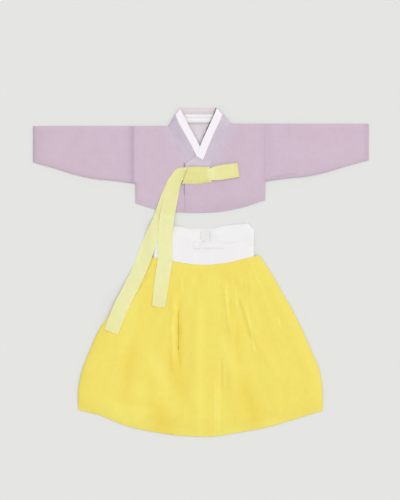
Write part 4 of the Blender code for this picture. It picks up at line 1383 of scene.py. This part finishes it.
def loop_points():
    """The goreum's loop as one strip: out to the left below, round its end, and back on top."""
    start_x, start_y, _ = LOOP[0]
    end_x, end_y, _ = LOOP[-1]
    stations = np.linspace(0, 1, 70)
    out_x = start_x + stations * (end_x - start_x)
    top = TIE_BASE + LOOP_OPEN + LOOP_PUFF * np.sin(np.pi * stations)
    bend = np.radians(np.linspace(-75, 75, 9))
    radius = LOOP_OPEN / 2
    x = np.concatenate([out_x, end_x + radius * np.cos(bend), out_x[::-1]])
    around = TIE_BASE + radius + radius * np.sin(bend)
    z = np.concatenate([np.full_like(out_x, TIE_BASE), around, top[::-1]])
    y, width = columns_curves([row[1:] for row in LOOP], [row[0] for row in LOOP], np.minimum(x, end_x)).T
    offsets = np.linspace(-0.5, 0.5, RIBBON_COLUMNS)
    aside = offsets * width[:, None]
    grid_y = y[:, None] + aside
    grid_x = x[:, None] - aside * (end_y - start_y) / (end_x - start_x)
    upper = np.arange(len(x))[:, None] > len(out_x)
    edge = (0.5 - np.abs(offsets)) * width[:, None]
    fall = LOOP_FALL * (1 - crown(edge, LOOP_EDGE)) * np.clip((end_x - grid_x) / 12.0, 0, 1)
    return np.stack([grid_x, grid_y, z[:, None] - upper * fall], axis=2)


def knot_points():
    """The knot's wrap, high in the middle and lower at all four sides."""
    last = len(KNOT) - 1
    at = np.linspace(0, last, 60)
    rows = columns_curves(KNOT, range(last + 1), at)
    shares = places(0.0, 1.0, 0.03, KNOT_PLACES, KNOT_PLACES)
    plan = between(rows[:, 2:], rows[:, :2], shares)
    size = np.hypot(*(rows[:, 2:] - rows[:, :2]).T)[:, None]
    edge = np.minimum(shares, 1 - shares) * size
    rise = KNOT_RISE * (1 - (1 - np.clip(edge / KNOT_SOFT, 0, 1)) ** KNOT_CURVE)
    rise *= 0.6 + 0.4 * crown(at[:, None], 0.9)
    rise *= 0.64 + 0.36 * crown(last - at[:, None], 1.6)
    return with_height(plan, OVERLAP_TOP + SEAM + RIBBON + rise)


def make_goreum():
    supports = support_points()
    for name, rows, seed in (("tail_long", TAIL_LONG, 51), ("tail_short", TAIL_SHORT, 52)):
        coarse = draped(ribbon_plan(rows), supports)
        supports = np.concatenate([supports, coarse.reshape(-1, 3)])
        grid, hem = refined(coarse, seed)
        run = np.linspace(0, 1, len(grid))[:, None]
        tone = 0.35 * np.clip(run * 3 - 0.4, 0, 1) - 0.25 * np.clip(run * 6 - 5, 0, 1)
        # The tails' tone also takes painted shade and painted light from their table.
        tone = tone + 0.2 * hem - 0.05 + toned(grid, TAIL_PAINTED_SHADING)
        cloth(name, grid, RIBBON, sewn=ALL_EDGES, tone=tone)
    loop = loop_points()
    # Painted light on the loop near its start and painted shade towards its folded end.
    lit = np.clip((LOOP_LIT_X - loop[..., 0]) / 10.0, 0, 1)
    dim = np.clip((loop[..., 0] - LOOP_DIM_X) / 15.0, 0, 1)
    cloth("loop", loop, RIBBON, around=True, tone=0.5 * lit - 0.4 * dim - 0.1)
    knot = knot_points()
    # The knot's tone takes painted light from its table, on a deeper tone.
    cloth("knot", knot, RIBBON, tone=toned(knot, KNOT_PAINTED_LIGHT) - 0.5)


# The chima.


def skirt_plan(across, down):
    """The place of a point of the skirt, and how far its side edges are to either hand."""
    shifted = across + SKIRT_SWAY * np.sin(across * SWAY_RATE) * np.sin(np.pi * across)
    top_y, hem_y = (
        curve(rows[0][0] + shifted * (rows[-1][0] - rows[0][0]))
        for curve, rows in ((waist_seam, WAIST_SEAM), (skirt_hem, SKIRT_HEM))
    )
    near, far = (
        side(WAIST_SEAM[end][1] * (1 - down) + SKIRT_HEM[end][1] * down)
        for side, end in ((skirt_side_near, 0), (skirt_side_far, -1))
    )
    x = near + shifted * (far - near)
    return x, top_y * (1 - down) + hem_y * down, x - near, far - x


def skirt_front_points(across, down):
    """The gathered front: gathers below the waist, broad folds, creases, and a hem that comes down."""
    x, y, near, far = skirt_plan(across, down)
    uneven = 0.8 + 0.2 * np.sin(across * UNEVEN_RATE)
    waves = GATHER_SOFT * gather_size(down) * uneven * np.cos(2 * np.pi * GATHERS * across)
    waves += FOLD_SOFT * fold_size(down) * np.cos(np.pi * GATHERS * across + 0.8)
    folds = fold_rows(x, y, SKIRT_FOLDS) + fold_rows(x, y, SKIRT_CREASES)
    streaks = ripple(across * STREAK_WIDE, y * STREAK_LONG, *STREAK_RIPPLE)
    height = skirt_level(down) + waves + folds + streaks + ripple(x, y, *SKIRT_RIPPLE)
    z = lofted(np.minimum(near, far) * SIDE_SLANT, height, SKIRT_REACH)
    drop = (1 - down) * SKIRT_LENGTH
    return np.stack([x, y, hem_drop(z, drop, np.minimum(z, SKIRT_REST), SKIRT_HEM_REACH)], axis=2)


def skirt_back_points(across, down):
    """The back of the skirt, nearly flat, with low gathers away from its edges."""
    x, y, near, far = skirt_plan(across, down)
    waves = BACK_GATHER * gather_size(down) * np.cos(2 * np.pi * GATHERS * across)
    waves += fold_size(down) * np.cos(np.pi * GATHERS * across)
    inward = np.minimum(near, far) - BACK_FLAT_SIDE
    rise = BACK_RISE * np.maximum(waves, 0) * crown(inward, 3 * SKIRT_REACH)
    rise *= np.clip((1 - down) * SKIRT_LENGTH / BACK_HEM_REACH, 0.1, 1)
    return np.stack([x, y, WALL + rise], axis=2)


def make_chima():
    edge = np.array(SKIRT_EDGE)
    right = np.concatenate([edge, np.linspace(edge[-1], PANEL_SEAM, 240)[1:]])
    left = np.concatenate([np.linspace(PANEL_SEAM, 1 - edge[-1], 196)[:-1], 1 - edge[::-1]])
    hem = np.array(EDGE_PLACES) / SKIRT_LENGTH
    waist = np.linspace(0, WAIST_SHARE, 24)[:-1]
    down = np.concatenate([waist, np.linspace(WAIST_SHARE, 1 - hem[-1], 116), 1 - hem[-2::-1]])
    for half, columns, seam, seam_edge, shift in (
        ("right", right, -1, "right", -JOIN / 2),
        ("left", left, 0, "left", JOIN / 2),
    ):
        outer = skirt_front_points(*lattice(columns, down))
        outer[:, seam, 0] += shift
        hem_row = stitches("skirt_stitches_" + half, "yellow_silk", outer[SKIRT_HEM_ROW, 6:-6])
        # The skirt's tone is painted shade in its creases and painted light on its ridges.
        tone = toned(outer, SKIRT_PAINTED_SHADING)
        cloth("skirt_front_" + half, outer, sewn=("first", seam_edge), tone=tone, rows=[hem_row])
    back = skirt_back_points(*lattice(np.linspace(0, 1, 221), np.linspace(0, 1, 80)))
    cloth("skirt_back", back, sewn=("first",))


# The waistband.


def band_front_points(upper_rows, from_x, to_x, low, high):
    """One front of the band, from the waist seam up to its own upper edge."""
    upper = np.array(upper_rows)
    x_low = places(from_x, to_x, BAND_STEP, low, high)
    x_high = upper[0][0] + (x_low - from_x) / (to_x - from_x) * (upper[-1][0] - upper[0][0])
    high_y = np.interp(x_high, upper[:, 0], upper[:, 1])
    low_y = waist_seam(x_low) + JOIN
    rows = []
    for share in places(0.0, 1.0, 0.021, BAND_LOW_PLACES, BAND_HIGH_PLACES):
        below = min(share / NOTCH_SHARE, 1)
        above = max(share - NOTCH_SHARE, 0)
        x = x_low + (x_high - x_low) * min(above / NOTCH_SPREAD, 1)
        y = low_y + (NOTCH_FOOT_Y - low_y) * below + (high_y - NOTCH_FOOT_Y) * above / (1 - NOTCH_SHARE)
        rows.append(np.stack([x, y], axis=1))
    plan = np.array(rows)
    x, y = plan[..., 0], plan[..., 1]
    distance = np.minimum(x - BAND_EDGE_RIGHT, BAND_EDGE_LEFT - x)
    relief = fold_rows(x, y, BAND_FOLDS) + ripple(x, y, *BAND_RIPPLE)
    height = lofted(distance, BAND_TOP) + relief * np.clip(distance / 12, 0, 1)
    notch = np.hypot(np.maximum(np.abs(x - NOTCH_X) - NOTCH_HALF, 0), np.maximum(NOTCH_BASE - y, 0))
    away = np.minimum(high_y - y, notch)
    return with_height(plan, hem_drop(height, away, np.minimum(height, BAND_REST), BAND_REACH))


def band_back_points():
    x, share = lattice(places(BAND_EDGE_RIGHT, BAND_EDGE_LEFT, 4.0), np.linspace(0, 1, 30))
    y = (waist_seam(x) + JOIN) * (1 - share) + BAND_BACK_TOP * share
    return np.stack([x, y, np.full_like(x, WALL)], axis=2)


def make_band():
    halves = {
        "right": (BAND_UPPER_RIGHT, BAND_EDGE_RIGHT, BAND_MEET_X - JOIN / 2, EDGE_PLACES, SEAM_PLACES),
        "left": (BAND_UPPER_LEFT, BAND_MEET_X + JOIN / 2, BAND_EDGE_LEFT, SEAM_PLACES, EDGE_PLACES),
    }
    fronts = {half: band_front_points(*values) for half, values in halves.items()}
    rows = {half: [] for half in fronts}
    for label, row, right, left in (
        ("band_stitches_", BAND_ROW, slice(4, -2), slice(2, -4)),
        ("waist_stitches_", WAIST_ROW, slice(4, None), slice(None, -4)),
    ):
        for half, part in (("right", right), ("left", left)):
            rows[half].append(stitches(label + half, "white_cotton", fronts[half][row, part]))
    for half, grid in fronts.items():
        # The band's tone is painted shade and painted light.
        tone = toned(grid, BAND_PAINTED_SHADING)
        cloth("waistband_" + half, grid, sewn=("first", half), tone=tone, rows=rows[half])
    back = band_back_points()
    # The back's tone is the same painted shade, seen in the notch.
    cloth("waistband_back", back, sewn=("first",), tone=toned(back, BAND_PAINTED_SHADING))
    tab = flat_patch(*TAB, BAND_TOP + STRIP_CLEAR + RIBBON + SEAM, (), TAB_STEP)
    cloth("waistband_tab", tab, RIBBON)


# The stage: a pale floor, soft light and the camera straight above.


def make_stage():
    scene = bpy.context.scene
    scene.view_settings.view_transform = "Standard"
    mesh = bpy.data.meshes.new("floor")
    corners = [(x * FLOOR_HALF, y * FLOOR_HALF, 0) for x, y in ((-1, -1), (1, -1), (1, 1), (-1, 1))]
    mesh.from_pydata(corners, [], [(0, 1, 2, 3)])
    floor = bpy.data.objects.new("floor", mesh)
    floor.location.z = FLOOR_Z
    scene.collection.objects.link(floor)
    ground = bpy.data.materials.new("floor")
    ground.use_nodes = True
    shader = ground.node_tree.nodes["Principled BSDF"].inputs
    shader["Base Color"].default_value = linear_colour(FLOOR_COLOUR)
    shader["Roughness"].default_value = 0.9
    shader["Specular IOR Level"].default_value = 0.1
    mesh.materials.append(ground)

    world = bpy.data.worlds.new("studio")
    scene.world = world
    world.use_nodes = True
    sky = world.node_tree.nodes["Background"].inputs
    sky["Color"].default_value = (1.0, 1.0, 1.0, 1.0)
    sky["Strength"].default_value = SKY_STRENGTH

    key = bpy.data.lights.new("key", "SUN")
    key.energy = KEY_STRENGTH
    key.angle = np.radians(KEY_SPREAD)
    lamp = bpy.data.objects.new("key", key)
    scene.collection.objects.link(lamp)
    lamp.rotation_euler = np.radians(KEY_TILT).tolist()

    camera = bpy.data.cameras.new("camera")
    camera.sensor_fit = "VERTICAL"
    camera.sensor_height = 36.0
    camera.lens = camera.sensor_height * CAMERA_HEIGHT / (PHOTO_ROWS * PIXEL * METRES)
    camera.clip_end = 50.0
    eye = bpy.data.objects.new("camera", camera)
    eye.location = (PHOTO_CENTRE[0] * METRES, PHOTO_CENTRE[1] * METRES, CAMERA_HEIGHT)
    scene.collection.objects.link(eye)
    scene.camera = eye


make_jeogori()
make_collar()
make_goreum()
make_chima()
make_band()
make_stage()
